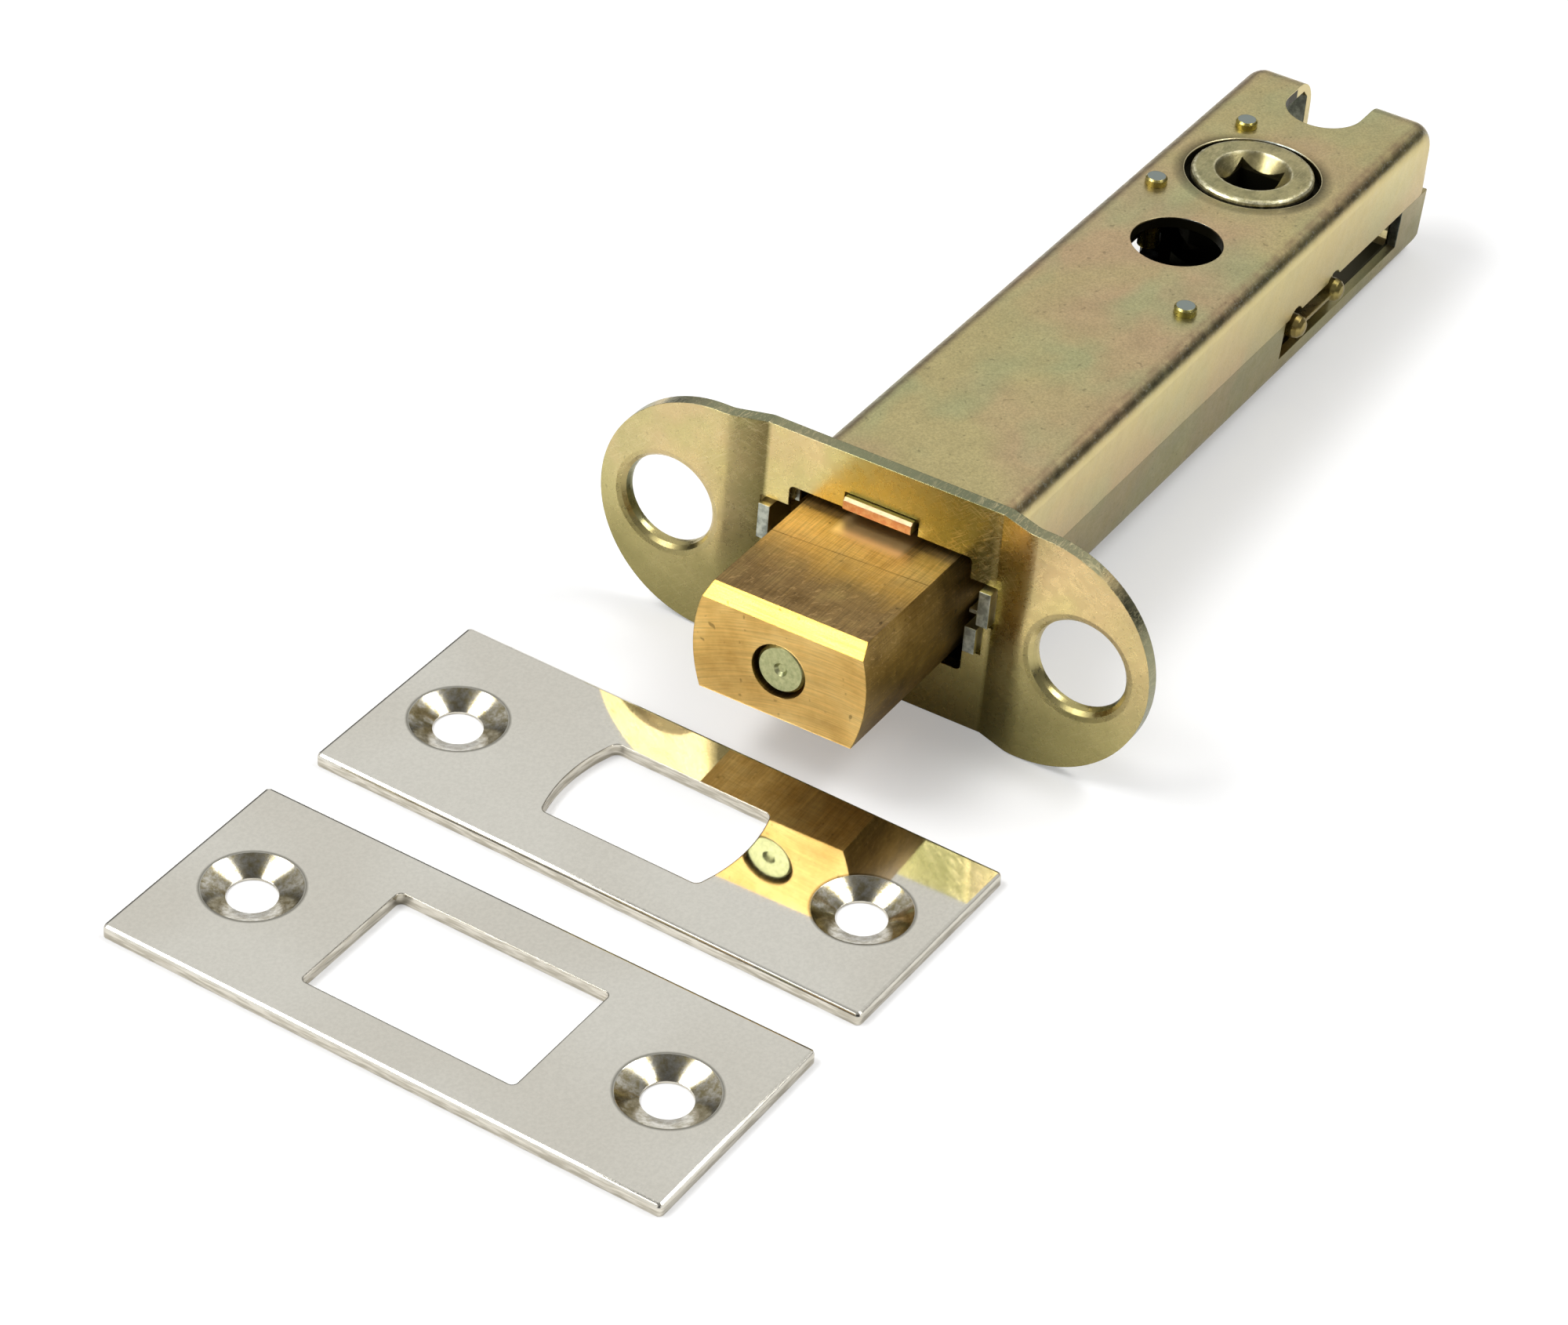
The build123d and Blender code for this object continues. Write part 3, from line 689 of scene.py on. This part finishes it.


# Drawn brass bar, saw-cut at the nose, planed at the nose's chamfer and left to tarnish elsewhere.
# Drawing leaves close fine lines along X on the long faces, crossed by scuffs from sliding in the case.
# The top is brown near the nose, partly tarnish and partly a painted dark reflection, and this thins out
# towards the forend, in clouds of 5 mm. The long sides are painted darker olive, as painted shade, and
# under the top tab the bar carries a painted reflection of the tab. The drawing lines, scuffs and planing
# lines are finer than 0.05 mm on a real bar, and are drawn 0.14 to 0.24 mm wide so that they show. The
# saw's marks are arcs, 0.2 mm apart.
def drawn_brass(name):
    material, tree, spot = start(name)
    facing = add(tree, "ShaderNodeSeparateXYZ", {
        "Vector": add(tree, "ShaderNodeNewGeometry").outputs["Normal"],
    }).outputs
    place = add(tree, "ShaderNodeSeparateXYZ", {"Vector": spot}).outputs
    nose = add(tree, "ShaderNodeMapRange", {0: facing["X"], 1: 0.9, 2: 0.97, 3: 0.0, 4: 1.0})
    planed = add(tree, "ShaderNodeMath", {
        0: add(tree, "ShaderNodeMapRange", {0: facing["X"], 1: 0.3, 2: 0.4, 3: 0.0, 4: 1.0}),
        1: add(tree, "ShaderNodeMapRange", {0: facing["X"], 1: 0.9, 2: 0.97, 3: 1.0, 4: 0.0}),
    }, operation="MULTIPLY")
    along = add(tree, "ShaderNodeTexNoise", {
        "Vector": add(tree, "ShaderNodeMapping", {
            "Vector": spot,
            "Scale": (per_metre(5.3), per_metre(0.143), per_metre(0.143)),
        }),
        "Scale": 1.0,
        "Detail": 3.0,
        "Roughness": 0.65,
    })
    across = add(tree, "ShaderNodeTexNoise", {
        "Vector": add(tree, "ShaderNodeMapping", {
            "Vector": add(tree, "ShaderNodeMapping", {"Vector": spot, "Rotation": (0.0, 0.0, 0.05)}),
            "Scale": (per_metre(0.192), per_metre(6.7), per_metre(6.7)),
        }),
        "Scale": 1.0,
        "Detail": 3.0,
        "Roughness": 0.7,
    })
    sweep = add(tree, "ShaderNodeVectorMath", {0: spot, 1: SAW_CENTRE}, operation="DISTANCE")
    sweep = add(tree, "ShaderNodeMath", {0: sweep, 1: per_metre(0.217)}, operation="MULTIPLY")
    kerf = add(tree, "ShaderNodeCombineXYZ", {
        "X": sweep,
        "Y": add(tree, "ShaderNodeMath", {0: place["Y"], 1: per_metre(6.7)}, operation="MULTIPLY"),
    })
    sawn = add(tree, "ShaderNodeTexNoise", {
        "Vector": kerf,
        "Scale": 1.0,
        "Detail": 3.0,
        "Roughness": 0.65,
    })
    ways = add(tree, "ShaderNodeMath", {
        0: add(tree, "ShaderNodeMath", {0: along, 1: 0.65}, operation="MULTIPLY"),
        1: add(tree, "ShaderNodeMath", {0: across, 1: 0.35}, operation="MULTIPLY"),
    }, operation="ADD")
    lines = add(tree, "ShaderNodeMix", {0: nose, 1: ways, 2: sawn}, data_type="FLOAT")
    cloud = add(tree, "ShaderNodeTexNoise", {
        "Vector": spot,
        "Scale": per_metre(4.8),
        "Detail": 4.0,
        "Roughness": 0.62,
    })
    fresh = add(tree, "ShaderNodeValToRGB", {
        "Fac": cloud,
    }, stops=[(0.32, linear("C19A54")), (0.52, linear("D6B068")), (0.7, linear("E2C07A"))])
    dull = add(tree, "ShaderNodeValToRGB", {
        "Fac": cloud,
    }, stops=[(0.3, linear("6B5330")), (0.5, linear("8A7048")), (0.72, linear("A38A55"))])
    thin = add(tree, "ShaderNodeMath", {
        0: add(tree, "ShaderNodeMath", {0: place["X"], 1: 1000.0}, operation="MULTIPLY"),
        1: add(tree, "ShaderNodeMapRange", {0: cloud, 1: 0.3, 2: 0.7, 3: -3.5, 4: 3.5}),
    }, operation="ADD")
    # Brown on the top near the nose: partly tarnish and partly a painted dark reflection
    tarnish_and_dark_reflection = add(tree, "ShaderNodeMath", {
        0: add(tree, "ShaderNodeMapRange", {0: thin, 1: 3.5, 2: 9.5, 3: 0.0, 4: 0.9}),
        1: add(tree, "ShaderNodeMapRange", {0: facing["Z"], 1: 0.8, 2: 0.95, 3: 0.0, 4: 1.0}),
    }, operation="MULTIPLY")
    # The long sides are painted darker olive: painted shade
    painted_shade_sides = add(tree, "ShaderNodeValToRGB", {
        "Fac": cloud,
    }, stops=[(0.3, linear("5E4C20")), (0.5, linear("7A6430")), (0.72, linear("987C42"))])
    body = add(tree, "ShaderNodeMix", {0: tarnish_and_dark_reflection, 1: fresh, 2: dull}, data_type="RGBA")
    body = add(tree, "ShaderNodeMix", {
        0: add(tree, "ShaderNodeMapRange", {
            0: add(tree, "ShaderNodeMath", {0: facing["Y"]}, operation="ABSOLUTE"),
            1: 0.55,
            2: 0.85,
            3: 0.0,
            4: 0.7,
        }),
        1: body,
        2: painted_shade_sides,
    }, data_type="RGBA")
    body = add(tree, "ShaderNodeMix", {0: planed, 1: body, 2: linear("D2AC54")}, data_type="RGBA")
    skew = add(tree, "ShaderNodeMath", {
        0: place["X"],
        1: add(tree, "ShaderNodeMath", {0: place["Y"], 1: 0.06}, operation="MULTIPLY"),
    }, operation="ADD")
    scribe = add(tree, "ShaderNodeMath", {
        0: within(tree, skew, *SCRIBED, 0.00005),
        1: add(tree, "ShaderNodeMapRange", {0: cloud, 1: 0.35, 2: 0.6, 3: 0.2, 4: 0.8}),
    }, operation="MULTIPLY")
    body = add(tree, "ShaderNodeMix", {
        0: add(tree, "ShaderNodeMath", {
            0: scribe,
            1: add(tree, "ShaderNodeMapRange", {0: facing["Z"], 1: 0.8, 2: 0.95, 3: 0.0, 4: 1.0}),
        }, operation="MULTIPLY"),
        1: body,
        2: linear("4A3418"),
    }, data_type="RGBA")
    pits = add(tree, "ShaderNodeMapRange", {
        0: add(tree, "ShaderNodeTexNoise", {
            "Vector": spot,
            "Scale": per_metre(0.91),
            "Detail": 1.0,
            "Roughness": 0.5,
        }),
        1: 0.71,
        2: 0.78,
        3: 1.0,
        4: 0.5,
    })
    drawn = add(tree, "ShaderNodeMapRange", {0: lines, 1: 0.38, 2: 0.62, 3: 0.72, 4: 1.2})
    cut = add(tree, "ShaderNodeMapRange", {0: lines, 1: 0.36, 2: 0.64, 3: 0.83, 4: 1.15})
    brushed = add(tree, "ShaderNodeMapRange", {
        0: add(tree, "ShaderNodeTexNoise", {
            "Vector": add(tree, "ShaderNodeMapping", {
                "Vector": spot,
                "Scale": (per_metre(0.24), per_metre(8.3), per_metre(0.24)),
            }),
            "Scale": 1.0,
            "Detail": 3.0,
            "Roughness": 0.6,
        }),
        1: 0.36,
        2: 0.56,
        3: 0.7,
        4: 1.06,
    })
    shade = add(tree, "ShaderNodeMix", {
        0: nose,
        1: add(tree, "ShaderNodeMix", {0: planed, 1: drawn, 2: brushed}, data_type="FLOAT"),
        2: cut,
    }, data_type="FLOAT")
    shade = add(tree, "ShaderNodeMath", {0: pits, 1: shade}, operation="MULTIPLY")
    body = add(tree, "ShaderNodeMix", {
        0: 1.0,
        1: body,
        2: shade,
    }, data_type="RGBA", blend_type="MULTIPLY")
    roughness = add(tree, "ShaderNodeMath", {
        0: add(tree, "ShaderNodeMapRange", {0: lines, 1: 0.35, 2: 0.65, 3: 0.3, 4: 0.42}),
        1: add(tree, "ShaderNodeMapRange", {0: place["X"], 1: 0.004, 2: 0.009, 3: 0.14, 4: 0.0}),
    }, operation="ADD")
    # Scuffs from handling cross the drawn faces as short bright hairs, drawn 0.3 mm wide so that they show
    hairs = add(tree, "ShaderNodeTexNoise", {
        "Vector": add(tree, "ShaderNodeMapping", {
            "Vector": add(tree, "ShaderNodeMapping", {"Vector": spot, "Rotation": (0.2, 0.3, 0.5)}),
            "Scale": (1.0, 7.0, 7.0),
        }),
        "Scale": per_metre(2.4),
        "Detail": 4.0,
        "Roughness": 0.7,
        "Distortion": 0.8,
    })
    hairs = add(tree, "ShaderNodeMath", {
        0: add(tree, "ShaderNodeMapRange", {0: hairs, 1: 0.56, 2: 0.66, 3: 0.0, 4: 0.32}),
        1: add(tree, "ShaderNodeMapRange", {0: facing["X"], 1: 0.2, 2: 0.4, 3: 1.0, 4: 0.0}),
    }, operation="MULTIPLY")
    body = add(tree, "ShaderNodeMix", {0: hairs, 1: body, 2: linear("EAC284")}, data_type="RGBA")
    # A painted reflection of the top tab: the bar is painted bright just under it
    wear_and_painted_glint = add(tree, "ShaderNodeMath", {
        0: within(tree, place["Y"], -0.0037, 0.0037, 0.0003),
        1: within(tree, place["X"], -0.003, 0.0015, 0.0005),
    }, operation="MULTIPLY")
    wear_and_painted_glint = add(tree, "ShaderNodeMath", {
        0: wear_and_painted_glint,
        1: add(tree, "ShaderNodeMapRange", {0: facing["Z"], 1: 0.8, 2: 0.95, 3: 0.0, 4: 1.0}),
    }, operation="MULTIPLY")
    body = add(tree, "ShaderNodeMix", {0: wear_and_painted_glint, 1: body, 2: linear("FFDC9A")}, data_type="RGBA")
    edge = add(tree, "ShaderNodeBevel", {"Radius": 0.00015}, samples=4)
    bump = add(tree, "ShaderNodeBump", {
        "Height": lines,
        "Strength": 0.3,
        "Distance": 0.00002,
        "Normal": edge,
    })
    return bare_metal(material, body, roughness, bump)


# Polished nickel plate over stamped steel: a mirror with a faint rolling wave and hairline scuffs.
# A soft dark outline of painted shade runs along every edge of the flat face, and a painted shadow rings
# each countersink. In the countersinks the plating is thin and stained brownish in spots of 0.7 mm. The
# punch drew their walls steeper towards the bore. The wave is 17 mm long. Hairlines, the plating's skin
# and the rolled sides' lines are finer than 0.1 mm on the real plate, and are drawn 0.2 to 0.4 mm wide so
# that they show.
def polished_nickel(name):
    material, tree, spot = start(name)
    true = add(tree, "ShaderNodeNewGeometry").outputs["True Normal"]
    facing = add(tree, "ShaderNodeSeparateXYZ", {"Vector": true}).outputs
    wave = add(tree, "ShaderNodeTexNoise", {
        "Vector": spot,
        "Scale": per_metre(16.7),
        "Detail": 1.0,
        "Roughness": 0.4,
    })
    fine = add(tree, "ShaderNodeTexNoise", {
        "Vector": add(tree, "ShaderNodeMapping", {"Vector": spot, "Scale": (1.0, 6.0, 1.0)}),
        "Scale": per_metre(1.11),
        "Detail": 3.0,
        "Roughness": 0.7,
    })
    peel = add(tree, "ShaderNodeTexNoise", {
        "Vector": spot,
        "Scale": per_metre(0.38),
        "Detail": 2.0,
        "Roughness": 0.6,
    })
    roughness = add(tree, "ShaderNodeMapRange", {0: fine, 1: 0.4, 2: 0.75, 3: 0.035, 4: 0.075})
    base = add(tree, "ShaderNodeMix", {
        0: add(tree, "ShaderNodeMapRange", {0: wave, 1: 0.4, 2: 0.6, 3: 0.0, 4: 1.0}),
        1: linear("DCD8CC"),
        2: linear("E2DFD4"),
    }, data_type="RGBA")
    base = add(tree, "ShaderNodeMix", {
        0: 1.0,
        1: base,
        2: add(tree, "ShaderNodeMapRange", {0: peel, 1: 0.35, 2: 0.65, 3: 0.965, 4: 1.035}),
    }, data_type="RGBA", blend_type="MULTIPLY")
    rolled = add(tree, "ShaderNodeTexNoise", {
        "Vector": add(tree, "ShaderNodeMapping", {"Vector": spot, "Scale": (0.1, 0.1, 1.0)}),
        "Scale": per_metre(0.24),
        "Detail": 2.0,
        "Roughness": 0.5,
    })
    side = add(tree, "ShaderNodeMix", {
        0: add(tree, "ShaderNodeMapRange", {0: rolled, 1: 0.42, 2: 0.58, 3: 0.0, 4: 1.0}),
        1: linear("CCC5B4"),
        2: linear("EEE8DA"),
    }, data_type="RGBA")
    base = add(tree, "ShaderNodeMix", {
        0: add(tree, "ShaderNodeMapRange", {0: facing["Z"], 1: 0.1, 2: 0.5, 3: 1.0, 4: 0.0}),
        1: base,
        2: side,
    }, data_type="RGBA")
    # Painted shade: a soft dark outline along every edge of the flat face
    edge = add(tree, "ShaderNodeBevel", {"Radius": 0.0003}, samples=8)
    turned = add(tree, "ShaderNodeVectorMath", {0: edge, 1: true}, operation="DOT_PRODUCT")
    painted_shade_outline = add(tree, "ShaderNodeMath", {
        0: add(tree, "ShaderNodeMapRange", {0: turned, 1: 0.9, 2: 0.995, 3: 0.75, 4: 0.0}),
        1: add(tree, "ShaderNodeMapRange", {0: facing["Z"], 1: 0.95, 2: 0.98, 3: 0.0, 4: 1.0}),
    }, operation="MULTIPLY")
    base = add(tree, "ShaderNodeMix", {0: painted_shade_outline, 1: base, 2: linear("4C4A3C")}, data_type="RGBA")
    soft = add(tree, "ShaderNodeBevel", {"Radius": 0.00015}, samples=4)
    normal = add(tree, "ShaderNodeBump", {
        "Height": wave,
        "Strength": 0.25,
        "Distance": 0.00006,
        "Normal": soft,
    })
    for mount in frame["record"]["mounts"]:
        if "_plate_screw_" not in mount["name"]:
            continue
        reach = add(tree, "ShaderNodeVectorMath", {
            0: Vector(mount["pos_m"]),
            1: spot,
        }, operation="SUBTRACT")
        reach = add(tree, "ShaderNodeVectorMath", {0: reach, 1: (1.0, 1.0, 0.0)}, operation="MULTIPLY")
        radius = add(tree, "ShaderNodeVectorMath", {0: reach}, operation="LENGTH")
        inward = add(tree, "ShaderNodeVectorMath", {0: reach}, operation="NORMALIZE")
        steep = add(tree, "ShaderNodeMapRange", {
            0: radius,
            1: SCREW_BORE,
            2: SINK_RIM,
            3: SINK_SLOPE + 0.08,
            4: SINK_SLOPE - 0.08,
        })
        lean = add(tree, "ShaderNodeVectorMath", {0: inward, "Scale": steep}, operation="SCALE")
        lean = add(tree, "ShaderNodeVectorMath", {0: lean, 1: (0.0, 0.0, 1.0)}, operation="ADD")
        lean = add(tree, "ShaderNodeVectorMath", {0: lean}, operation="NORMALIZE")
        wall = within(tree, radius, SCREW_BORE + 0.00002, SINK_RIM - 0.00004, 0.00002)
        normal = add(tree, "ShaderNodeMix", {0: wall, 1: normal, 2: lean}, data_type="VECTOR")
        stain = add(tree, "ShaderNodeMapRange", {
            0: add(tree, "ShaderNodeTexNoise", {
                "Vector": spot,
                "Scale": per_metre(0.67),
                "Detail": 4.0,
                "Roughness": 0.7,
            }),
            1: 0.36,
            2: 0.62,
            3: 0.15,
            4: 1.0,
        })
        base = add(tree, "ShaderNodeMix", {
            0: add(tree, "ShaderNodeMath", {0: wall, 1: stain}, operation="MULTIPLY"),
            1: base,
            2: linear("9A8F6C"),
        }, data_type="RGBA")
        roughness = add(tree, "ShaderNodeMath", {
            0: roughness,
            1: add(tree, "ShaderNodeMath", {
                0: wall,
                1: add(tree, "ShaderNodeMapRange", {0: stain, 1: 0.0, 2: 1.0, 3: 0.06, 4: 0.16}),
            }, operation="MULTIPLY"),
        }, operation="ADD")
        shadow = add(tree, "ShaderNodeMath", {
            0: within(tree, radius, SINK_RIM - 0.00002, SINK_RIM + 0.00022, RIM_EDGE),
            1: 0.7,
        }, operation="MULTIPLY")
        base = add(tree, "ShaderNodeMix", {0: shadow, 1: base, 2: linear("4E4C3C")}, data_type="RGBA")
    return bare_metal(material, base, roughness, normal)


# Turned hardened-steel pin, passivated: an even grain under a greenish film. The real grain is finer, and
# it is drawn 0.45 mm wide so that it shows.
def turned_pin(name):
    material, tree, spot = start(name)
    grain = add(tree, "ShaderNodeTexNoise", {
        "Vector": spot,
        "Scale": per_metre(0.45),
        "Detail": 3.0,
        "Roughness": 0.6,
    })
    base = add(tree, "ShaderNodeValToRGB", {
        "Fac": grain,
    }, stops=[(0.3, linear("A2A779")), (0.7, linear("CDCE9C"))])
    bump = add(tree, "ShaderNodeBump", {"Height": grain, "Strength": 0.25, "Distance": 0.00003})
    roughness = add(tree, "ShaderNodeMapRange", {0: grain, 1: 0.3, 2: 0.7, 3: 0.3, 4: 0.45})
    return bare_metal(material, base, roughness, bump)


# Plain or blued steel for the small inner pieces, with a worn grain, drawn 0.7 mm wide so that it shows.
def inner_steel(name, dark, light, rough):
    material, tree, spot = start(name)
    grain = add(tree, "ShaderNodeTexNoise", {
        "Vector": spot,
        "Scale": per_metre(0.67),
        "Detail": 3.0,
        "Roughness": 0.6,
    })
    base = add(tree, "ShaderNodeValToRGB", {"Fac": grain}, stops=[(0.3, dark), (0.7, light)])
    roughness = add(tree, "ShaderNodeMapRange", {
        0: grain,
        1: 0.3,
        2: 0.7,
        3: rough - 0.05,
        4: rough + 0.08,
    })
    return bare_metal(material, base, roughness)


# Straw, pink and green of the film on each piece. The lower shell's film is darker than the upper's: painted
# shade.
TOP_FILM = (linear("C4B682"), linear("C8AA86"), linear("B4B686"))
LOW_FILM_SHADED = (linear("ACA374"), linear("A89574"), linear("A0A076"))
EAR_FILM = (linear("DCCC8E"), linear("DEBE94"), linear("C4BC82"))
HUB_FILM = (linear("B8B07E"), linear("B4A67C"), linear("A4A47A"))
TAIL_FILM = (linear("A08E56"), linear("967C54"), linear("8C8850"))
POST_FILM = (linear("B4A65A"), linear("ADA070"), linear("A39E5C"))
looks = {
    "passivated_shell": passivated_zinc(
        "shell_passivated", TOP_FILM, rough=0.34, cast=0.75, grit=1.7,
        marks=(bend_film_and_painted_light, dished_hole_painted_light, cut_ends, tab_end_painted_highlight, painted_shade_inside)),
    # The lower shell in a darker film: painted shade
    "passivated_shell_low": passivated_zinc(
        "lower_shell_painted_shade", LOW_FILM_SHADED, rough=0.34, marks=(cut_ends, painted_shade_inside)),
    "passivated_forend": passivated_zinc(
        "forend_passivated", EAR_FILM, rough=0.27, grit=0.35,
        marks=(forend_painted_light_and_shade, scratched(0.9, -0.001))),
    "brass": drawn_brass("drawn_brass"),
    "core_steel": turned_pin("turned_pin"),
    "tail_steel": passivated_zinc("tail_passivated", TAIL_FILM, rough=0.30),
    "rivet_steel": inner_steel("plain_rivet_steel", linear("6E7070"), linear("A0A2A2"), rough=0.34),
    "follower_steel": passivated_zinc(
        "follower_passivated", HUB_FILM, rough=0.33, marks=(rims_worn_and_highlit, scratched(0.5), hub_painted_shade)),
    "spring_steel": inner_steel("blued_spring_steel", linear("33363B"), linear("5A5D63"), rough=0.3),
    "post_steel": passivated_zinc("post_passivated", POST_FILM, rough=0.26, marks=(struck_head,)),
    "nickel_plate": polished_nickel("polished_nickel"),
}
for part in frame["record"]["subparts"]:
    node = nodes_of[part["node"]]
    node.data.materials.clear()
    node.data.materials.append(looks[part["material_slot"]])

# Floor: the plane that the set rests on, a white sheet without an edge in view. FLOOR_SEEN is its white in
# the picture, FLOOR_AROUND what it gives back to the metal, and FLOOR_WASH the share of plain white laid
# over it that keeps the shadows as pale as in the photograph.
WHITE = linear("FFFFFF")
FLOOR_SEEN = linear("FCFCFC")
FLOOR_AROUND = linear("E7E7E7")
FLOOR_WASH = 0.30
FLOOR_GAP = 0.00002
bpy.ops.mesh.primitive_grid_add(x_subdivisions=2, y_subdivisions=2, size=6.0)
floor = bpy.context.object
floor.name = "floor_sheet"
up = Vector((math.sin(REST_TILT), 0.0, math.cos(REST_TILT)))
floor.matrix_world = Matrix.Translation(REST_FRONT - up * FLOOR_GAP) @ Matrix.Rotation(REST_TILT, 4, "Y")
sheet, sheet_tree, _ = start("white_sheet")
ray = add(sheet_tree, "ShaderNodeLightPath").outputs["Is Camera Ray"]
shade = add(sheet_tree, "ShaderNodeMix", {0: ray, 1: FLOOR_AROUND, 2: FLOOR_SEEN}, data_type="RGBA")
matt = add(sheet_tree, "ShaderNodeBsdfPrincipled", {"Base Color": shade, "Roughness": 0.9})
lit = add(sheet_tree, "ShaderNodeEmission", {"Color": WHITE, "Strength": 1.0})
washed = add(sheet_tree, "ShaderNodeMath", {0: ray, 1: FLOOR_WASH}, operation="MULTIPLY")
both = add(sheet_tree, "ShaderNodeMixShader", {0: washed, 1: matt, 2: lit})
add(sheet_tree, "ShaderNodeOutputMaterial", {"Surface": both})
floor.data.materials.append(sheet)

# Studio around the set: a pale wall high at the back left, a window ahead on the left that the plates
# pass on to the forend, and dark towards the other horizons
PALE_WALL = Vector((-0.67, -0.38, 0.64)).normalized()
FRONT_WINDOW = Vector((0.70, -0.38, 0.60)).normalized()
# Brightness by the cosine of the angle to each of the two
WALL_LEVELS = [(at, (grey, grey, grey, 1.0)) for at, grey in (
    (0.0, 0.30), (0.35, 0.10), (0.60, 0.22), (0.84, 0.78), (1.0, 0.82))]
WINDOW_LEVELS = [(at, (grey, grey, grey, 1.0)) for at, grey in ((0.90, 0.0), (0.955, 1.7))]
world = bpy.data.worlds.new("studio")
scene.world = world
world.use_nodes = True
world.node_tree.nodes.clear()
studio = world.node_tree
direction = add(studio, "ShaderNodeTexCoord").outputs["Generated"]
toward_wall = add(studio, "ShaderNodeVectorMath", {0: direction, 1: PALE_WALL}, operation="DOT_PRODUCT")
level = add(studio, "ShaderNodeValToRGB", {"Fac": toward_wall}, stops=WALL_LEVELS)
height = add(studio, "ShaderNodeSeparateXYZ", {"Vector": direction}).outputs["Z"]
low = add(studio, "ShaderNodeMapRange", {0: height, 1: 0.12, 2: 0.46, 3: 0.12, 4: 1.0})
level = add(studio, "ShaderNodeMix", {0: 1.0, 1: level, 2: low}, data_type="RGBA", blend_type="MULTIPLY")
toward_window = add(studio, "ShaderNodeVectorMath", {0: direction, 1: FRONT_WINDOW}, operation="DOT_PRODUCT")
window = add(studio, "ShaderNodeValToRGB", {"Fac": toward_window}, stops=WINDOW_LEVELS, interpolation="EASE")
level = add(studio, "ShaderNodeMix", {0: 1.0, 1: level, 2: window}, data_type="RGBA", blend_type="LIGHTEN")
seen = add(studio, "ShaderNodeLightPath").outputs["Is Camera Ray"]
around = add(studio, "ShaderNodeBackground", {"Color": level, "Strength": 1.0})
plain = add(studio, "ShaderNodeBackground", {"Color": WHITE, "Strength": 1.0})
backdrop = add(studio, "ShaderNodeMixShader", {0: seen, 1: around, 2: plain})
add(studio, "ShaderNodeOutputWorld", {"Surface": backdrop})


def softbox(name, toward, distance, size, watts):
    data = bpy.data.lights.new(name, "AREA")
    data.shape = "RECTANGLE"
    data.size, data.size_y = size
    data.energy = watts
    lamp = bpy.data.objects.new(name, data)
    scene.collection.objects.link(lamp)
    lamp.location = Vector(toward).normalized() * distance
    lamp.rotation_euler = (-lamp.location).to_track_quat("-Z", "Y").to_euler()


# Two long boxes overhead with a dark gap between them, as the countersinks mirror them
softbox("left_box", (0.30, -0.46, 0.83), 1.1, (0.62, 0.34), 6.5)
softbox("right_box", (-0.30, 0.40, 0.86), 1.1, (0.62, 0.30), 5.0)

# Camera at the photograph's viewing angle
eye = Vector((0.34228, 0.17516, 0.26925))
right = Vector((-0.51882651, 0.85201229, 0.06995791))
above = Vector((-0.48448443, -0.3604706, 0.79707954))
back = right.cross(above)
cam = bpy.data.cameras.new("camera")
cam.sensor_width = 36.0
cam.lens = 115.305
cam.shift_x = 0.01139
cam.shift_y = 0.04807
cam.clip_start = 0.01
camera = bpy.data.objects.new("camera", cam)
scene.collection.objects.link(camera)
camera.matrix_world = Matrix((
    (right.x, above.x, back.x, eye.x),
    (right.y, above.y, back.y, eye.y),
    (right.z, above.z, back.z, eye.z),
    (0.0, 0.0, 0.0, 1.0),
))
scene.camera = camera

scene.view_settings.view_transform = "Standard"
